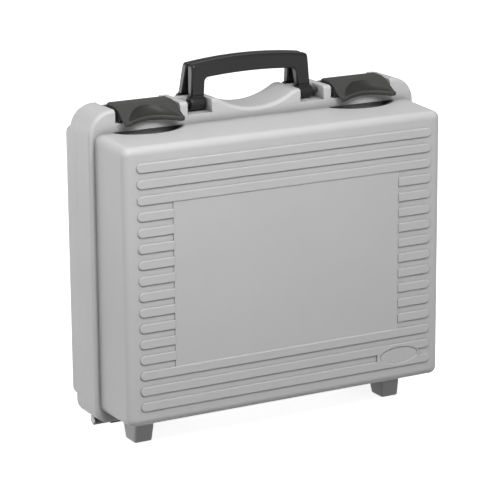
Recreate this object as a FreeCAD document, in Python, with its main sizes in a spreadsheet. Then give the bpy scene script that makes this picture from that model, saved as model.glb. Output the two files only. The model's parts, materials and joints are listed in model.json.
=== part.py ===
import FreeCAD
import Part
import Sketcher
import math
import os

# Hard tool case: a deep ribbed front shell that stands on feet, a shallow back
# shell hinged to it at the bottom, two lever latches and a handle in two halves.
# Millimetres, +Z up, front face towards -Y, origin on the floor under the centre.

doc = FreeCAD.newDocument("tool_case")
sheet = doc.addObject("Spreadsheet::Sheet", "Dims")

sizes = [
    ("front_depth", "56.5", "rib tops to the front of the rim"),
    ("rim_front_depth", "27.5", "rim carried by the front shell"),
    ("rim_back_depth", "15", "rim carried by the back shell"),
    ("back_depth", "24", "rim to the back rib tops"),
    ("box_width", "314.8", "front face, side to side"),
    ("box_height", "245.4", "front face, bottom to top"),
    ("foot_height", "26", "floor to the bottom of the front face"),
    ("side_draft", "0.9", "growth of each side from face to rim"),
    ("top_draft", "2.6", "growth of the top from face to rim"),
    ("bottom_draft", "1", "growth of the bottom from face to rim"),
    ("wall", "3", "shell wall"),
    ("box_edge_radius", "7", "round edges and corners of a face"),
    ("inner_radius", "4", "round edges of the cavities"),
    ("rim_side_step", "4.7", "rim beyond the sides"),
    ("rim_bottom_step", "10.5", "rim below the bottom"),
    ("ridge_height", "19.7", "rim above the top"),
    ("rim_top_radius", "22", "upper corners of the rim"),
    ("rim_bottom_radius", "13", "lower corners of the rim"),
    ("rim_edge_radius", "3.5", "round edge of the rim"),
    ("row_pitch", "14", "rib to rib"),
    ("row_height", "8.5", "height of one rib"),
    ("row_margin", "11.1", "rib end to the side of the face"),
    ("rib_raise", "1.3", "rib above the face"),
    ("row_clearance", "20", "height of a face that is free of ribs, at least"),
    ("rib_radius", "1.1", "round crest of a rib"),
    ("full_rows", "3", "unbroken ribs at each end of a face"),
    ("panel_margin", "33.8", "rib end to the label panel"),
    ("panel_raise", "0.6", "label panel above the face"),
    ("badge_inset", "43.5", "side of the face to the middle of the oval badge place"),
    ("badge_half_width", "20.5", "oval badge place"),
    ("badge_half_height", "8.2", "oval badge place"),
    ("badge_depth", "0.5", "oval badge place below the ribs"),
    ("badge_land", "23", "half width of the ground round the badge"),
    ("notch_depth", "12", "latch notches and handle pockets below the ridge"),
    ("notch_inset", "50.4", "side of the face to the middle of a latch notch"),
    ("notch_width", "62", "latch notch"),
    ("pocket_shift", "2.8", "middle of the handle leg to the middle of its pocket"),
    ("pocket_clearance", "8", "handle pocket beyond the width of the knuckle"),
    ("pocket_depth", "20.6", "front handle pocket, front to back"),
    ("notch_back_wall", "3", "ridge left behind the latch notch"),
    ("notch_back_dip", "4", "how far that wall lies below the ridge"),
    ("opening_radius", "1", "round edges of the notches and pockets"),
    ("scoop_half_width", "41", "hand scoop in the ridge, at its top"),
    ("scoop_depth", "11.5", "hand scoop in the ridge"),
    ("scoop_shoulder", "9", "round shoulders of the hand scoop"),
    ("finger_width", "68", "finger hollow under a latch lip"),
    ("finger_reach", "17.5", "finger hollow, front of the rim to its edge"),
    ("finger_depth", "12", "finger hollow below the top"),
    ("finger_undercut", "8", "finger hollow under the front of the rim"),
    ("knuckle_radius", "6", "handle knuckle"),
    ("knuckle_width", "15.7", "handle knuckle"),
    ("knuckle_gap", "1.2", "handle knuckle above the pocket floor"),
    ("handle_pin_radius", "2", "handle pin"),
    ("pin_seat", "3", "pin end in its wall"),
    ("front_pivot_setback", "12.9", "front of the rim to the front handle pin"),
    ("back_pivot_setback", "6.4", "parting plane to the back handle pin"),
    ("leg_outer", "60", "handle, middle to the outer side of a leg, at the pin"),
    ("leg_width", "12.6", "handle leg, side to side"),
    ("leg_taper", "1.8", "narrowing of the handle from pin to top"),
    ("grip_rise", "33.9", "handle pin to the grip's outer top corner"),
    ("grip_height", "12.2", "handle grip, bottom to top"),
    ("grip_arch", "4.2", "rise of the grip's middle"),
    ("grip_radius", "1.6", "round edges of the handle"),
    ("grip_outer_radius", "3", "outer corners of the handle"),
    ("grip_inner_radius", "4", "inner corners of the handle"),
    ("leg_depth", "7.4", "handle leg, front to back, at the pin"),
    ("grip_depth", "9.3", "front half of the grip, front to back"),
    ("back_grip_depth", "8.4", "back half of the grip, front to back"),
    ("front_lean", "1.7", "setback of the front grip's front face"),
    ("grip_gap", "0.5", "between the two halves of the grip"),
    ("latch_side_gap", "2.7", "latch lever to the side of its notch"),
    ("latch_reach", "49", "latch pin to the tip of the lip"),
    ("latch_rise", "8.5", "latch pin to the crest of the lever"),
    ("latch_setback", "5.9", "parting plane to the latch pin"),
    ("latch_pin_height", "6.3", "notch floor to the latch pin"),
    ("latch_barrel_radius", "4", "latch barrel"),
    ("latch_pin_radius", "1.8", "latch pin"),
    ("latch_skirt", "2", "side and front skirts of the latch"),
    ("latch_floor_gap", "0.5", "latch skirts above the notch floor"),
    ("keeper_width", "24", "latch keeper"),
    ("keeper_length", "15", "latch keeper, front to back"),
    ("keeper_sheet", "1.2", "latch keeper"),
    ("keeper_bead", "1.4", "raised bar of the keeper"),
    ("keeper_setback", "5", "front of the rim to the keeper"),
    ("screw_radius", "1.5", "keeper screw"),
    ("screw_length", "7", "keeper screw in the ridge"),
    ("screw_head_radius", "2.3", "keeper screw head"),
    ("screw_head_height", "1.1", "keeper screw head"),
    ("screw_spacing", "15", "keeper screws"),
    ("screw_setback", "3", "end of the keeper to its screws"),
    ("claw_gap", "0.4", "latch claw above the keeper"),
    ("claw_width", "20", "latch claw"),
    ("claw_thickness", "3", "latch claw"),
    ("claw_setback", "7.5", "front of the rim to the claw"),
    ("fit_gap", "0.05", "running clearance of pins and stems, radial"),
    ("side_gap", "0.3", "clearance beside parts that move"),
    ("hinge_inset", "33.9", "side of the face to the middle of a hinge"),
    ("hinge_width", "60", "hinge"),
    ("hinge_radius", "5", "hinge knuckle"),
    ("hinge_pin_radius", "1.7", "hinge pin"),
    ("hinge_drop", "4.2", "hinge axis below the rim"),
    ("hinge_sheet", "2", "hinge leaf"),
    ("hinge_knuckles", "5", "knuckles of a hinge, front and back in turn"),
    ("leaf_setback", "6.5", "outer end of the knuckles to the leaf"),
    ("front_leaf_length", "18", "front hinge leaf, beyond the knuckle"),
    ("back_leaf_length", "7", "back hinge leaf, beyond the knuckle"),
    ("pin_head", "1.5", "hinge pin beyond the knuckles"),
    ("rivet_radius", "1.5", "hinge rivet shank"),
    ("rivet_head_radius", "3", "hinge rivet head"),
    ("rivet_head_height", "1.2", "hinge rivet head"),
    ("rivet_length", "4", "hinge rivet in the rim"),
    ("rivet_spacing", "30", "hinge rivets"),
    ("front_foot_inset", "29.6", "side of the face to the middle of a front foot"),
    ("front_foot_setback", "34.5", "rib tops to the front foot"),
    ("foot_width", "16.4", "foot, side to side, at the floor"),
    ("front_foot_length", "18", "front foot, front to back, at the floor"),
    ("back_foot_inset", "53.4", "side of the face to the middle of a back foot"),
    ("back_foot_setback", "3.5", "rim to the back foot"),
    ("back_foot_length", "10", "back foot, front to back, at the floor"),
    ("foot_flare", "0.5", "growth of a foot towards its top, left and right"),
    ("foot_slope", "3", "growth of a foot towards its top, front and back"),
    ("foot_seat", "1.6", "foot let into the shell"),
    ("stem_radius", "3.5", "foot stem"),
    ("stem_lip", "1.2", "foot stem above the wall inside"),
    ("foot_radius", "1.5", "round edges of a foot"),
    ("overrun", "5", "cuts beyond the faces they open"),
]
for line, (alias, text, note) in enumerate(sizes, start=1):
    sheet.set("A%d" % line, note)
    sheet.set("B%d" % line, text)
    sheet.setAlias("B%d" % line, alias)
doc.recompute()

# Places that several pieces share, as expressions of the sizes
front_y = ("(-(Dims.front_depth + Dims.rim_front_depth + Dims.rim_back_depth"
           " + Dims.back_depth) / 2)")
rim_y = f"({front_y} + Dims.front_depth)"
parting_y = f"({rim_y} + Dims.rim_front_depth)"
rim_back_y = f"({parting_y} + Dims.rim_back_depth)"
back_y = f"({rim_back_y} + Dims.back_depth)"
box_side = "(Dims.box_width / 2)"
box_bottom = "Dims.foot_height"
box_top = "(Dims.foot_height + Dims.box_height)"
box_middle = "(Dims.foot_height + Dims.box_height / 2)"
rim_side = f"({box_side} + Dims.side_draft + Dims.rim_side_step)"
rim_top = f"({box_top} + Dims.top_draft + Dims.ridge_height)"
rim_bottom = f"({box_bottom} - Dims.bottom_draft - Dims.rim_bottom_step)"
notch_floor = f"({rim_top} - Dims.notch_depth)"
notch_back_y = f"({rim_back_y} - Dims.notch_back_wall)"
row_count = "floor((Dims.box_height - Dims.row_clearance) / Dims.row_pitch)"
top_row = f"({box_middle} + ({row_count} - 1) * Dims.row_pitch / 2)"
bottom_row = f"({box_middle} - ({row_count} - 1) * Dims.row_pitch / 2)"
row_end = f"({box_side} - Dims.row_margin)"
panel_side = f"({row_end} - Dims.panel_margin)"
pivot_z = f"({notch_floor} + Dims.knuckle_radius + Dims.knuckle_gap)"
front_pivot_y = f"({rim_y} + Dims.front_pivot_setback)"
back_pivot_y = f"({parting_y} + Dims.back_pivot_setback)"
latch_pin_y = f"({parting_y} + Dims.latch_setback)"
latch_pin_z = f"({notch_floor} + Dims.latch_pin_height)"
hinge_z = f"({rim_bottom} - Dims.hinge_drop)"
foot_top = f"({box_bottom} + Dims.foot_seat)"
badge_centre = f"({box_side} - Dims.badge_inset)"
notch_centre = f"({box_side} - Dims.notch_inset)"
hinge_centre = f"({box_side} - Dims.hinge_inset)"
front_foot_centre = f"({box_side} - Dims.front_foot_inset)"
back_foot_centre = f"({box_side} - Dims.back_foot_inset)"
pocket_centre = "(Dims.leg_outer - Dims.leg_width / 2 + Dims.pocket_shift)"
pocket_width = "(Dims.knuckle_width + Dims.pocket_clearance)"
latch_width = "(Dims.notch_width - 2 * Dims.latch_side_gap)"
near = 1e-3
sides = {"left": "-", "right": ""}


def value(expression):
    return float(sheet.evalExpression(expression))


def at(side, x):
    return f"({sides[side]}({x}))"


def bow_of(reach, rise):
    """Radius of an arc that rises by rise over twice reach."""
    return f"(({reach} * {reach} + {rise} * {rise}) / (2 * {rise}))"


def origin_plane(body, role):
    return [item for item in body.Origin.OriginFeatures if item.Role == role][0]


def new_body(label):
    body = doc.addObject("PartDesign::Body", label)
    body.Label = label
    return body


def new_sketch(body, role, offset):
    """A sketch parallel to an origin plane, offset along that plane's normal."""
    sketch = body.newObject("Sketcher::SketchObject", body.Name + "_sketch")
    sketch.AttachmentSupport = [(origin_plane(body, role), "")]
    sketch.MapMode = "FlatFace"
    sketch.setExpression("AttachmentOffset.Base.z", offset)
    return sketch


def face_sketch(body, y):
    """Sketch seen from the front: x is X, y is Z, its normal points to -Y."""
    return new_sketch(body, "XZ_Plane", f"-({y})")


def side_sketch(body, x):
    """Sketch seen from the side: x is Y, y is Z, its normal points to +X."""
    return new_sketch(body, "YZ_Plane", x)


def bind(sketch, kind, *where, expression):
    index = sketch.addConstraint(Sketcher.Constraint(kind, *where, value(expression)))
    sketch.setExpression(f"Constraints[{index}]", expression)


def pin_point(sketch, line, end, x, y):
    bind(sketch, "DistanceX", -1, 1, line, end, expression=x)
    bind(sketch, "DistanceY", -1, 1, line, end, expression=y)


def segment(sketch, start_x, start_y, end_x, end_y):
    start, end = FreeCAD.Vector(start_x, start_y, 0), FreeCAD.Vector(end_x, end_y, 0)
    return sketch.addGeometry(Part.LineSegment(start, end))


def arc(sketch, x, y, radius, start, end):
    """Arc about x, y, anticlockwise between two angles."""
    ring = Part.Circle(FreeCAD.Vector(x, y, 0), FreeCAD.Vector(0, 0, 1), radius)
    return sketch.addGeometry(Part.ArcOfCircle(ring, start, end))


def polygon(sketch, corners, arches=None):
    """Closed outline through corners given as expressions.

    arches maps a corner's number to the rise of an arc from it to the next
    corner, negative where it sags; both ends of an arc lie at one height, evenly
    about the middle.
    """
    arches = arches or {}
    spots = [FreeCAD.Vector(value(x), value(y), 0) for x, y in corners]
    count = len(spots)
    parts = []
    for n, spot in enumerate(spots):
        if n in arches:
            rise = value(arches[n])
            radius = value(bow_of(corners[n][0], arches[n]))
            lean = math.acos(abs(spot.x / radius)) + (0 if rise > 0 else math.pi)
            index = arc(sketch, 0, spot.y + rise - radius, abs(radius), lean,
                        (math.pi if rise > 0 else 3 * math.pi) - lean)
            ends = (1, 2) if spot.x * rise > 0 else (2, 1)
        else:
            after = spots[(n + 1) % count]
            index = segment(sketch, spot.x, spot.y, after.x, after.y)
            ends = (1, 2)
        parts.append((index, ends))
    for n, (index, ends) in enumerate(parts):
        after, after_ends = parts[(n + 1) % count]
        sketch.addConstraint(Sketcher.Constraint("Coincident", index, ends[1],
                                                 after, after_ends[0]))
        pin_point(sketch, index, ends[0], *corners[n])
        if n in arches:
            reach, rise = corners[n][0], arches[n]
            bind(sketch, "Radius", index, expression=f"abs({bow_of(reach, rise)})")


def rectangle(sketch, left, right, low, high):
    polygon(sketch, [(left, low), (right, low), (right, high), (left, high)])


def circle(sketch, x, y, radius):
    centre = FreeCAD.Vector(value(x), value(y), 0)
    ring = sketch.addGeometry(Part.Circle(centre, FreeCAD.Vector(0, 0, 1), value(radius)))
    pin_point(sketch, ring, 3, x, y)
    bind(sketch, "Radius", ring, expression=radius)


def settle(feature, grows):
    """Recompute and make sure that the feature added or removed material."""
    doc.recompute()
    body = feature.getParentGeoFeatureGroup()
    base = feature.BaseFeature.Shape.Volume if feature.BaseFeature else 0
    change = feature.Shape.Volume - base
    if (change > 0) != grows or abs(change) < near:
        raise SystemExit(f"{body.Label}: {feature.Name} changes the volume by {change}")
    return feature


def pad(body, sketch, length, reverse=False, middle=False):
    feature = body.newObject("PartDesign::Pad", body.Name + "_pad")
    feature.Profile = sketch
    feature.setExpression("Length", length)
    feature.Reversed = reverse
    feature.SideType = "Symmetric" if middle else "One side"
    return settle(feature, True)


def pocket(body, sketch, length, reverse=False, middle=False):
    feature = body.newObject("PartDesign::Pocket", body.Name + "_pocket")
    feature.Profile = sketch
    feature.setExpression("Length", length)
    feature.Reversed = reverse
    feature.SideType = "Symmetric" if middle else "One side"
    return settle(feature, False)


def fillet(body, radius, accept):
    """Round every edge of the body's last feature that accept() picks."""
    doc.recompute()
    last = body.Tip
    names = ["Edge%d" % (n + 1) for n, edge in enumerate(last.Shape.Edges) if accept(edge)]
    if not names:
        raise SystemExit(f"{body.Label}: no edge to round")
    feature = body.newObject("PartDesign::Fillet", body.Name + "_fillet")
    feature.Base = (last, names)
    feature.setExpression("Radius", radius)
    doc.recompute()
    if not feature.isValid() or not feature.Shape.isValid():
        raise SystemExit(f"{body.Label}: {feature.Name} can't round {len(names)} edges")
    return feature


def flat_at(edge, axis, place):
    """True for an edge that lies wholly in the plane where axis equals place."""
    box = edge.BoundBox
    low, high = getattr(box, axis + "Min"), getattr(box, axis + "Max")
    return abs(low - place) < near and abs(high - place) < near


def runs_along(edge, axis):
    """True for an edge that is longest along axis and nearly straight."""
    box = edge.BoundBox
    spans = {"X": box.XLength, "Y": box.YLength, "Z": box.ZLength}
    rest = [span for name, span in spans.items() if name != axis]
    return spans[axis] > max(rest) * 2


def primitive(kind, label, x, y, z, **lengths):
    """Part primitive placed at x, y, z, with its lengths bound to expressions."""
    item = doc.addObject(kind, label)
    item.Label = label
    for name, expression in lengths.items():
        item.setExpression(name, expression)
    for name, expression in (("x", x), ("y", y), ("z", z)):
        item.setExpression("Placement.Base." + name, expression)
    return item


def cylinder_x(label, radius, x, length, y, z):
    """Round bar along +X that starts at x."""
    bar = primitive("Part::Cylinder", label, x, y, z, Radius=radius, Height=length)
    bar.Placement.Rotation = FreeCAD.Rotation(FreeCAD.Vector(0, 1, 0), 90)
    return bar


def cylinder_z(label, radius, x, y, z, length):
    """Round bar along +Z that starts at z."""
    return primitive("Part::Cylinder", label, x, y, z, Radius=radius, Height=length)


def block(label, x, y, z, width, depth, height):
    """Box with its low corner at x, y, z."""
    return primitive("Part::Box", label, x, y, z, Length=width, Width=depth, Height=height)


def fuse(label, items):
    joined = doc.addObject("Part::MultiFuse", label)
    joined.Shapes = items
    joined.Label = label
    return joined


def cut(label, base, tools):
    """Base less all the tools."""
    result = doc.addObject("Part::Cut", label)
    result.Base = base
    result.Tool = tools[0] if len(tools) == 1 else fuse(label + "_tools", tools)
    result.Label = label
    return result


def low_end(side, centre, width):
    """Lower X end of something width wide, centred on one side."""
    return f"({at(side, centre)} - ({width}) / 2)"


# Shell outlines

def drafted_box(body, face_y, edge_y, raised):
    """Box between the flat of a face and the rim, a little wider at the rim."""
    flat_y = f"({face_y} {raised} Dims.rib_raise)"
    wide = f"({box_side} + Dims.side_draft)"
    small = (f"-{box_side}", box_side, box_bottom, box_top)
    large = (f"-{wide}", wide, f"({box_bottom} - Dims.bottom_draft)",
             f"({box_top} + Dims.top_draft)")
    wedge = body.newObject("PartDesign::AdditiveWedge", body.Name + "_box")
    low, high = (small, large) if raised == "+" else (large, small)
    ends = (flat_y, edge_y) if raised == "+" else (edge_y, flat_y)
    for name, expression in zip(("Xmin", "Xmax", "Zmin", "Zmax"), low):
        wedge.setExpression(name, expression)
    for name, expression in zip(("X2min", "X2max", "Z2min", "Z2max"), high):
        wedge.setExpression(name, expression)
    for name, expression in zip(("Ymin", "Ymax"), ends):
        wedge.setExpression(name, expression)
    settle(wedge, True)
    flat = value(flat_y)
    fillet(body, "Dims.box_edge_radius",
           lambda edge: runs_along(edge, "Y") or flat_at(edge, "Y", flat))


def rim_pad(body, y, length, reverse, outer_y):
    """Rim ring, still solid, with its hand scoop, round corners and round outer edge."""
    outline = face_sketch(body, y)
    rectangle(outline, f"-{rim_side}", rim_side, rim_bottom, rim_top)
    pad(body, outline, length, reverse)
    side = value(rim_side)
    low, high = value(rim_bottom), value(rim_top)

    def corner(edge, height):
        box = edge.BoundBox
        return (runs_along(edge, "Y") and abs(box.ZMin - height) < near
                and abs(abs(box.XMin) - side) < near)

    fillet(body, "Dims.rim_top_radius", lambda edge: corner(edge, high))
    fillet(body, "Dims.rim_bottom_radius", lambda edge: corner(edge, low))
    hand_scoop(body, y, f"({length} + Dims.overrun)", not reverse)
    outer = value(outer_y)
    shoulder = value(f"({box_top} + Dims.top_draft)")

    def outer_loop(edge):
        box = edge.BoundBox
        beyond = (box.XMax > value(box_side) + value("Dims.rim_side_step") / 2
                  or box.XMin < -value(box_side) - value("Dims.rim_side_step") / 2
                  or box.ZMin > shoulder + near or box.ZMax < low + near)
        return flat_at(edge, "Y", outer) and beyond

    fillet(body, "Dims.rim_edge_radius", outer_loop)


def cavity(body, length, reverse):
    """Hollow of one shell, open at the parting plane."""
    hollow = face_sketch(body, parting_y)
    inner = f"({box_side} - Dims.wall)"
    rectangle(hollow, f"-{inner}", inner, f"({box_bottom} + Dims.wall)",
              f"({box_top} - Dims.wall)")
    pocket(body, hollow, length, reverse)
    side = value(inner)
    low, high = value(box_bottom) + value("Dims.wall"), value(box_top) - value("Dims.wall")

    def inner_corner(edge):
        box = edge.BoundBox
        at_side = abs(abs(box.XMin) - side) < near and box.XLength < near
        at_level = min(abs(box.ZMin - low), abs(box.ZMin - high)) < near and box.ZLength < near
        return runs_along(edge, "Y") and at_side and at_level

    fillet(body, "Dims.inner_radius", inner_corner)


def slot(sketch, half_length, z):
    """Rib outline with round ends, centred on the middle."""
    radius = "(Dims.row_height / 2)"
    reach = f"({half_length} - {radius})"
    x, y, r = value(reach), value(z), value(radius)
    a = arc(sketch, x, y, r, -math.pi / 2, math.pi / 2)
    b = segment(sketch, x, y + r, -x, y + r)
    c = arc(sketch, -x, y, r, math.pi / 2, 3 * math.pi / 2)
    d = segment(sketch, -x, y - r, x, y - r)
    for one, one_end, two, two_end in ((a, 2, b, 1), (b, 2, c, 1), (c, 2, d, 1), (d, 2, a, 1)):
        sketch.addConstraint(Sketcher.Constraint("Tangent", one, one_end, two, two_end))
    sketch.addConstraint(Sketcher.Constraint("Equal", a, c))
    pin_point(sketch, a, 3, reach, z)
    pin_point(sketch, c, 3, f"-{reach}", z)
    bind(sketch, "Radius", a, expression=radius)


def end_slot(sketch, sign, z):
    """Short rib: round at its outer end, square at the label panel."""
    radius = "(Dims.row_height / 2)"
    reach = f"({sign}({row_end} - {radius}))"
    stop = f"({sign}{panel_side})"
    x, inner, y, r = value(reach), value(stop), value(z), value(radius)
    start = -math.pi / 2 if x > 0 else math.pi / 2
    turn = r if x > 0 else -r
    a = arc(sketch, x, y, r, start, start + math.pi)
    b = segment(sketch, x, y + turn, inner, y + turn)
    c = segment(sketch, inner, y + turn, inner, y - turn)
    d = segment(sketch, inner, y - turn, x, y - turn)
    for one, one_end, two, two_end in ((a, 2, b, 1), (d, 2, a, 1)):
        sketch.addConstraint(Sketcher.Constraint("Tangent", one, one_end, two, two_end))
    for one, two in ((b, c), (c, d)):
        sketch.addConstraint(Sketcher.Constraint("Coincident", one, 2, two, 1))
    sketch.addConstraint(Sketcher.Constraint("Vertical", c))
    pin_point(sketch, a, 3, reach, z)
    bind(sketch, "Radius", a, expression=radius)
    bind(sketch, "DistanceX", -1, 1, c, 1, expression=stop)


def repeat_down(body, feature, count):
    pattern = body.newObject("PartDesign::LinearPattern", body.Name + "_rows")
    pattern.Originals = [feature]
    pattern.Direction = (origin_plane(body, "Z_Axis"), [""])
    pattern.Reversed = True
    pattern.setExpression("Length", f"Dims.row_pitch * (({count}) - 1)")
    pattern.setExpression("Occurrences", count)
    body.Tip = pattern
    return settle(pattern, True)


def rib_rows(body, face_y, raised, outward):
    """Ribs and label panel on the flat of a face; outward is the pad's Reversed."""
    flat_y = f"({face_y} {raised} Dims.rib_raise)"
    short_rows = f"({row_count} - 2 * Dims.full_rows)"
    short_top = f"({top_row} - Dims.full_rows * Dims.row_pitch)"
    for start, count, short in ((top_row, "Dims.full_rows", False),
                                (short_top, short_rows, True),
                                (f"({bottom_row} + (Dims.full_rows - 1) * Dims.row_pitch)",
                                 "Dims.full_rows", False)):
        row = face_sketch(body, flat_y)
        if short:
            end_slot(row, "-", start)
            end_slot(row, "", start)
        else:
            slot(row, row_end, start)
        repeat_down(body, pad(body, row, "Dims.rib_raise", outward), count)
    crest, stop = value(face_y), value(panel_side)

    def rib_crest(edge):
        box = edge.BoundBox
        at_panel = box.XLength < near and abs(abs(box.XMin) - stop) < near
        return flat_at(edge, "Y", crest) and not at_panel

    fillet(body, "Dims.rib_radius", rib_crest)
    panel = face_sketch(body, flat_y)
    low = (f"({short_top} - {short_rows} * Dims.row_pitch + Dims.row_height / 2"
           " - Dims.rib_radius)")
    high = f"({short_top} + Dims.row_pitch - Dims.row_height / 2 + Dims.rib_radius)"
    rectangle(panel, f"-{panel_side}", panel_side, low, high)
    pad(body, panel, "Dims.panel_raise", outward)


def top_openings(body, y, length, reverse, centre, width):
    """Cut one notch at each side down from the ridge."""
    opening = face_sketch(body, y)
    half = f"({width} / 2)"
    high = f"({rim_top} + Dims.overrun)"
    rectangle(opening, f"({centre} - {half})", f"({centre} + {half})", notch_floor, high)
    rectangle(opening, f"(-{centre} - {half})", f"(-{centre} + {half})", notch_floor, high)
    pocket(body, opening, length, reverse)
    inner, outer = value(f"({centre} - {half})"), value(f"({centre} + {half})")
    floor = value(notch_floor)
    ends = (value(parting_y), value(notch_back_y), value(y))

    def opening_edge(edge):
        box = edge.BoundBox
        upright = box.XLength < near and min(abs(abs(box.XMin) - inner),
                                             abs(abs(box.XMin) - outer)) < near
        return (upright and box.ZMin > floor - near and not flat_at(edge, "Z", floor)
                and not any(flat_at(edge, "Y", end) for end in ends))

    fillet(body, "Dims.opening_radius", opening_edge)


def finger_hollow(body, side):
    """Shell-shaped hollow in the top that runs on under the front of the rim.

    Its bed is an arc turned a quarter about an axis above the rim's foot.
    """
    depth, reach = "Dims.finger_depth", "Dims.finger_reach"
    lift = f"(({reach} * {reach} - {depth} * {depth}) / (2 * {depth}))"
    profile, undercut = face_sketch(body, rim_y), face_sketch(body, rim_y)
    for sketch in (profile, undercut):
        sketch.setExpression("AttachmentOffset.Base.x", at(side, notch_centre))
        sketch.setExpression("AttachmentOffset.Base.y", f"{box_top} + Dims.top_draft + {lift}")
    half = "(Dims.finger_width / 2)"
    mouth, above = f"(-{lift})", f"(-{lift} + Dims.overrun)"
    polygon(profile, [(f"-{half}", above), (half, above), (half, mouth), (f"-{half}", mouth)],
            {2: "(-Dims.finger_depth)"})
    hollow = body.newObject("PartDesign::Groove", body.Name + "_hollow")
    hollow.Profile = profile
    hollow.ReferenceAxis = (profile, ["H_Axis"])
    hollow.Angle = 90
    hollow.Reversed = True
    settle(hollow, False)
    polygon(undercut, [(f"-{half}", mouth), (half, mouth)], {1: "(-Dims.finger_depth)"})
    pocket(body, undercut, "Dims.finger_undercut")


def hand_scoop(body, y, length, reverse):
    """Round dip in the ridge between the handle pockets, with round shoulders."""
    dip = face_sketch(body, y)
    reach, depth = "Dims.scoop_half_width", "Dims.scoop_depth"
    bow = f"({bow_of(reach, depth)} - Dims.scoop_shoulder)"
    shoulder_z = f"({rim_top} - Dims.scoop_shoulder)"
    high = f"({rim_top} + Dims.overrun)"
    x, top, r, big = value(reach), value(rim_top), value("Dims.scoop_shoulder"), value(bow)
    lean = math.atan2(r + big - value(depth), x)
    right = arc(dip, x, top - r, r, math.pi / 2, math.pi - lean)
    bottom = arc(dip, 0, top - value(depth) + big, big, math.pi + lean, 2 * math.pi - lean)
    left = arc(dip, -x, top - r, r, lean, math.pi / 2)
    lines = [segment(dip, -x, top, -x, value(high)), segment(dip, -x, value(high), x, value(high)),
             segment(dip, x, value(high), x, top)]
    dip.addConstraint(Sketcher.Constraint("Tangent", right, 2, bottom, 2))
    dip.addConstraint(Sketcher.Constraint("Tangent", bottom, 1, left, 1))
    for one, one_end, two, two_end in ((left, 2, lines[0], 1), (lines[0], 2, lines[1], 1),
                                       (lines[1], 2, lines[2], 1), (lines[2], 2, right, 1)):
        dip.addConstraint(Sketcher.Constraint("Coincident", one, one_end, two, two_end))
    for item, sign in ((right, ""), (left, "-")):
        pin_point(dip, item, 3, f"({sign}{reach})", shoulder_z)
        bind(dip, "Radius", item, expression="Dims.scoop_shoulder")
    bind(dip, "Radius", bottom, expression=bow)
    bind(dip, "DistanceX", -1, 1, right, 1, expression=reach)
    bind(dip, "DistanceX", -1, 1, left, 2, expression=f"(-{reach})")
    for line, kind in zip(lines, ("Vertical", "Horizontal", "Vertical")):
        dip.addConstraint(Sketcher.Constraint(kind, line))
    bind(dip, "DistanceY", -1, 1, lines[0], 2, expression=high)
    pocket(body, dip, length, reverse)


# Front shell

front = new_body("front_shell_body")
drafted_box(front, front_y, rim_y, "+")
rim_pad(front, parting_y, "Dims.rim_front_depth", False, rim_y)
cavity(front, "Dims.rim_front_depth + Dims.front_depth - Dims.rib_raise - Dims.wall", True)

# Thickening inside the top, under the finger hollows
boss = face_sketch(front, f"({rim_y} + Dims.finger_undercut + Dims.wall)")
for sign in ("-", ""):
    middle_x = f"({sign}{notch_centre})"
    half = "(Dims.finger_width / 2 + Dims.wall)"
    rectangle(boss, f"({middle_x} - {half})", f"({middle_x} + {half})",
              f"({box_top} - Dims.finger_depth - Dims.wall)", box_top)
pad(front, boss, "Dims.finger_undercut + Dims.finger_reach + 2 * Dims.wall")
for side in sides:
    finger_hollow(front, side)

rib_rows(front, front_y, "+", False)

# Ground for the oval badge place between the two lowest ribs, and the place itself
land = face_sketch(front, f"({front_y} + Dims.rib_raise)")
rectangle(land, f"({badge_centre} - Dims.badge_land)",
          f"({badge_centre} + Dims.badge_half_width)",
          bottom_row, f"({bottom_row} + Dims.row_pitch)")
pad(front, land, "Dims.rib_raise")

deep_cut = "Dims.rim_front_depth + Dims.overrun"
top_openings(front, parting_y, deep_cut, True, notch_centre, "Dims.notch_width")
top_openings(front, f"({rim_y} + Dims.pocket_depth)", "Dims.pocket_depth + Dims.overrun", True,
             pocket_centre, pocket_width)

# Back shell

back = new_body("back_shell_body")
drafted_box(back, back_y, rim_back_y, "-")
rim_pad(back, parting_y, "Dims.rim_back_depth", True, rim_back_y)
cavity(back, "Dims.rim_back_depth + Dims.back_depth - Dims.rib_raise - Dims.wall", False)
rib_rows(back, back_y, "-", True)
top_openings(back, parting_y, "Dims.rim_back_depth - Dims.notch_back_wall", False,
             notch_centre, "Dims.notch_width")
top_openings(back, parting_y, "Dims.rim_back_depth + Dims.overrun", False,
             pocket_centre, pocket_width)
dip = face_sketch(back, notch_back_y)
for sign in ("-", ""):
    middle_x = f"({sign}{notch_centre})"
    rectangle(dip, f"({middle_x} - Dims.notch_width / 2)", f"({middle_x} + Dims.notch_width / 2)",
              f"({rim_top} - Dims.notch_back_dip)", f"({rim_top} + Dims.overrun)")
pocket(back, dip, "Dims.notch_back_wall + Dims.overrun", False)


# Feet

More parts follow.
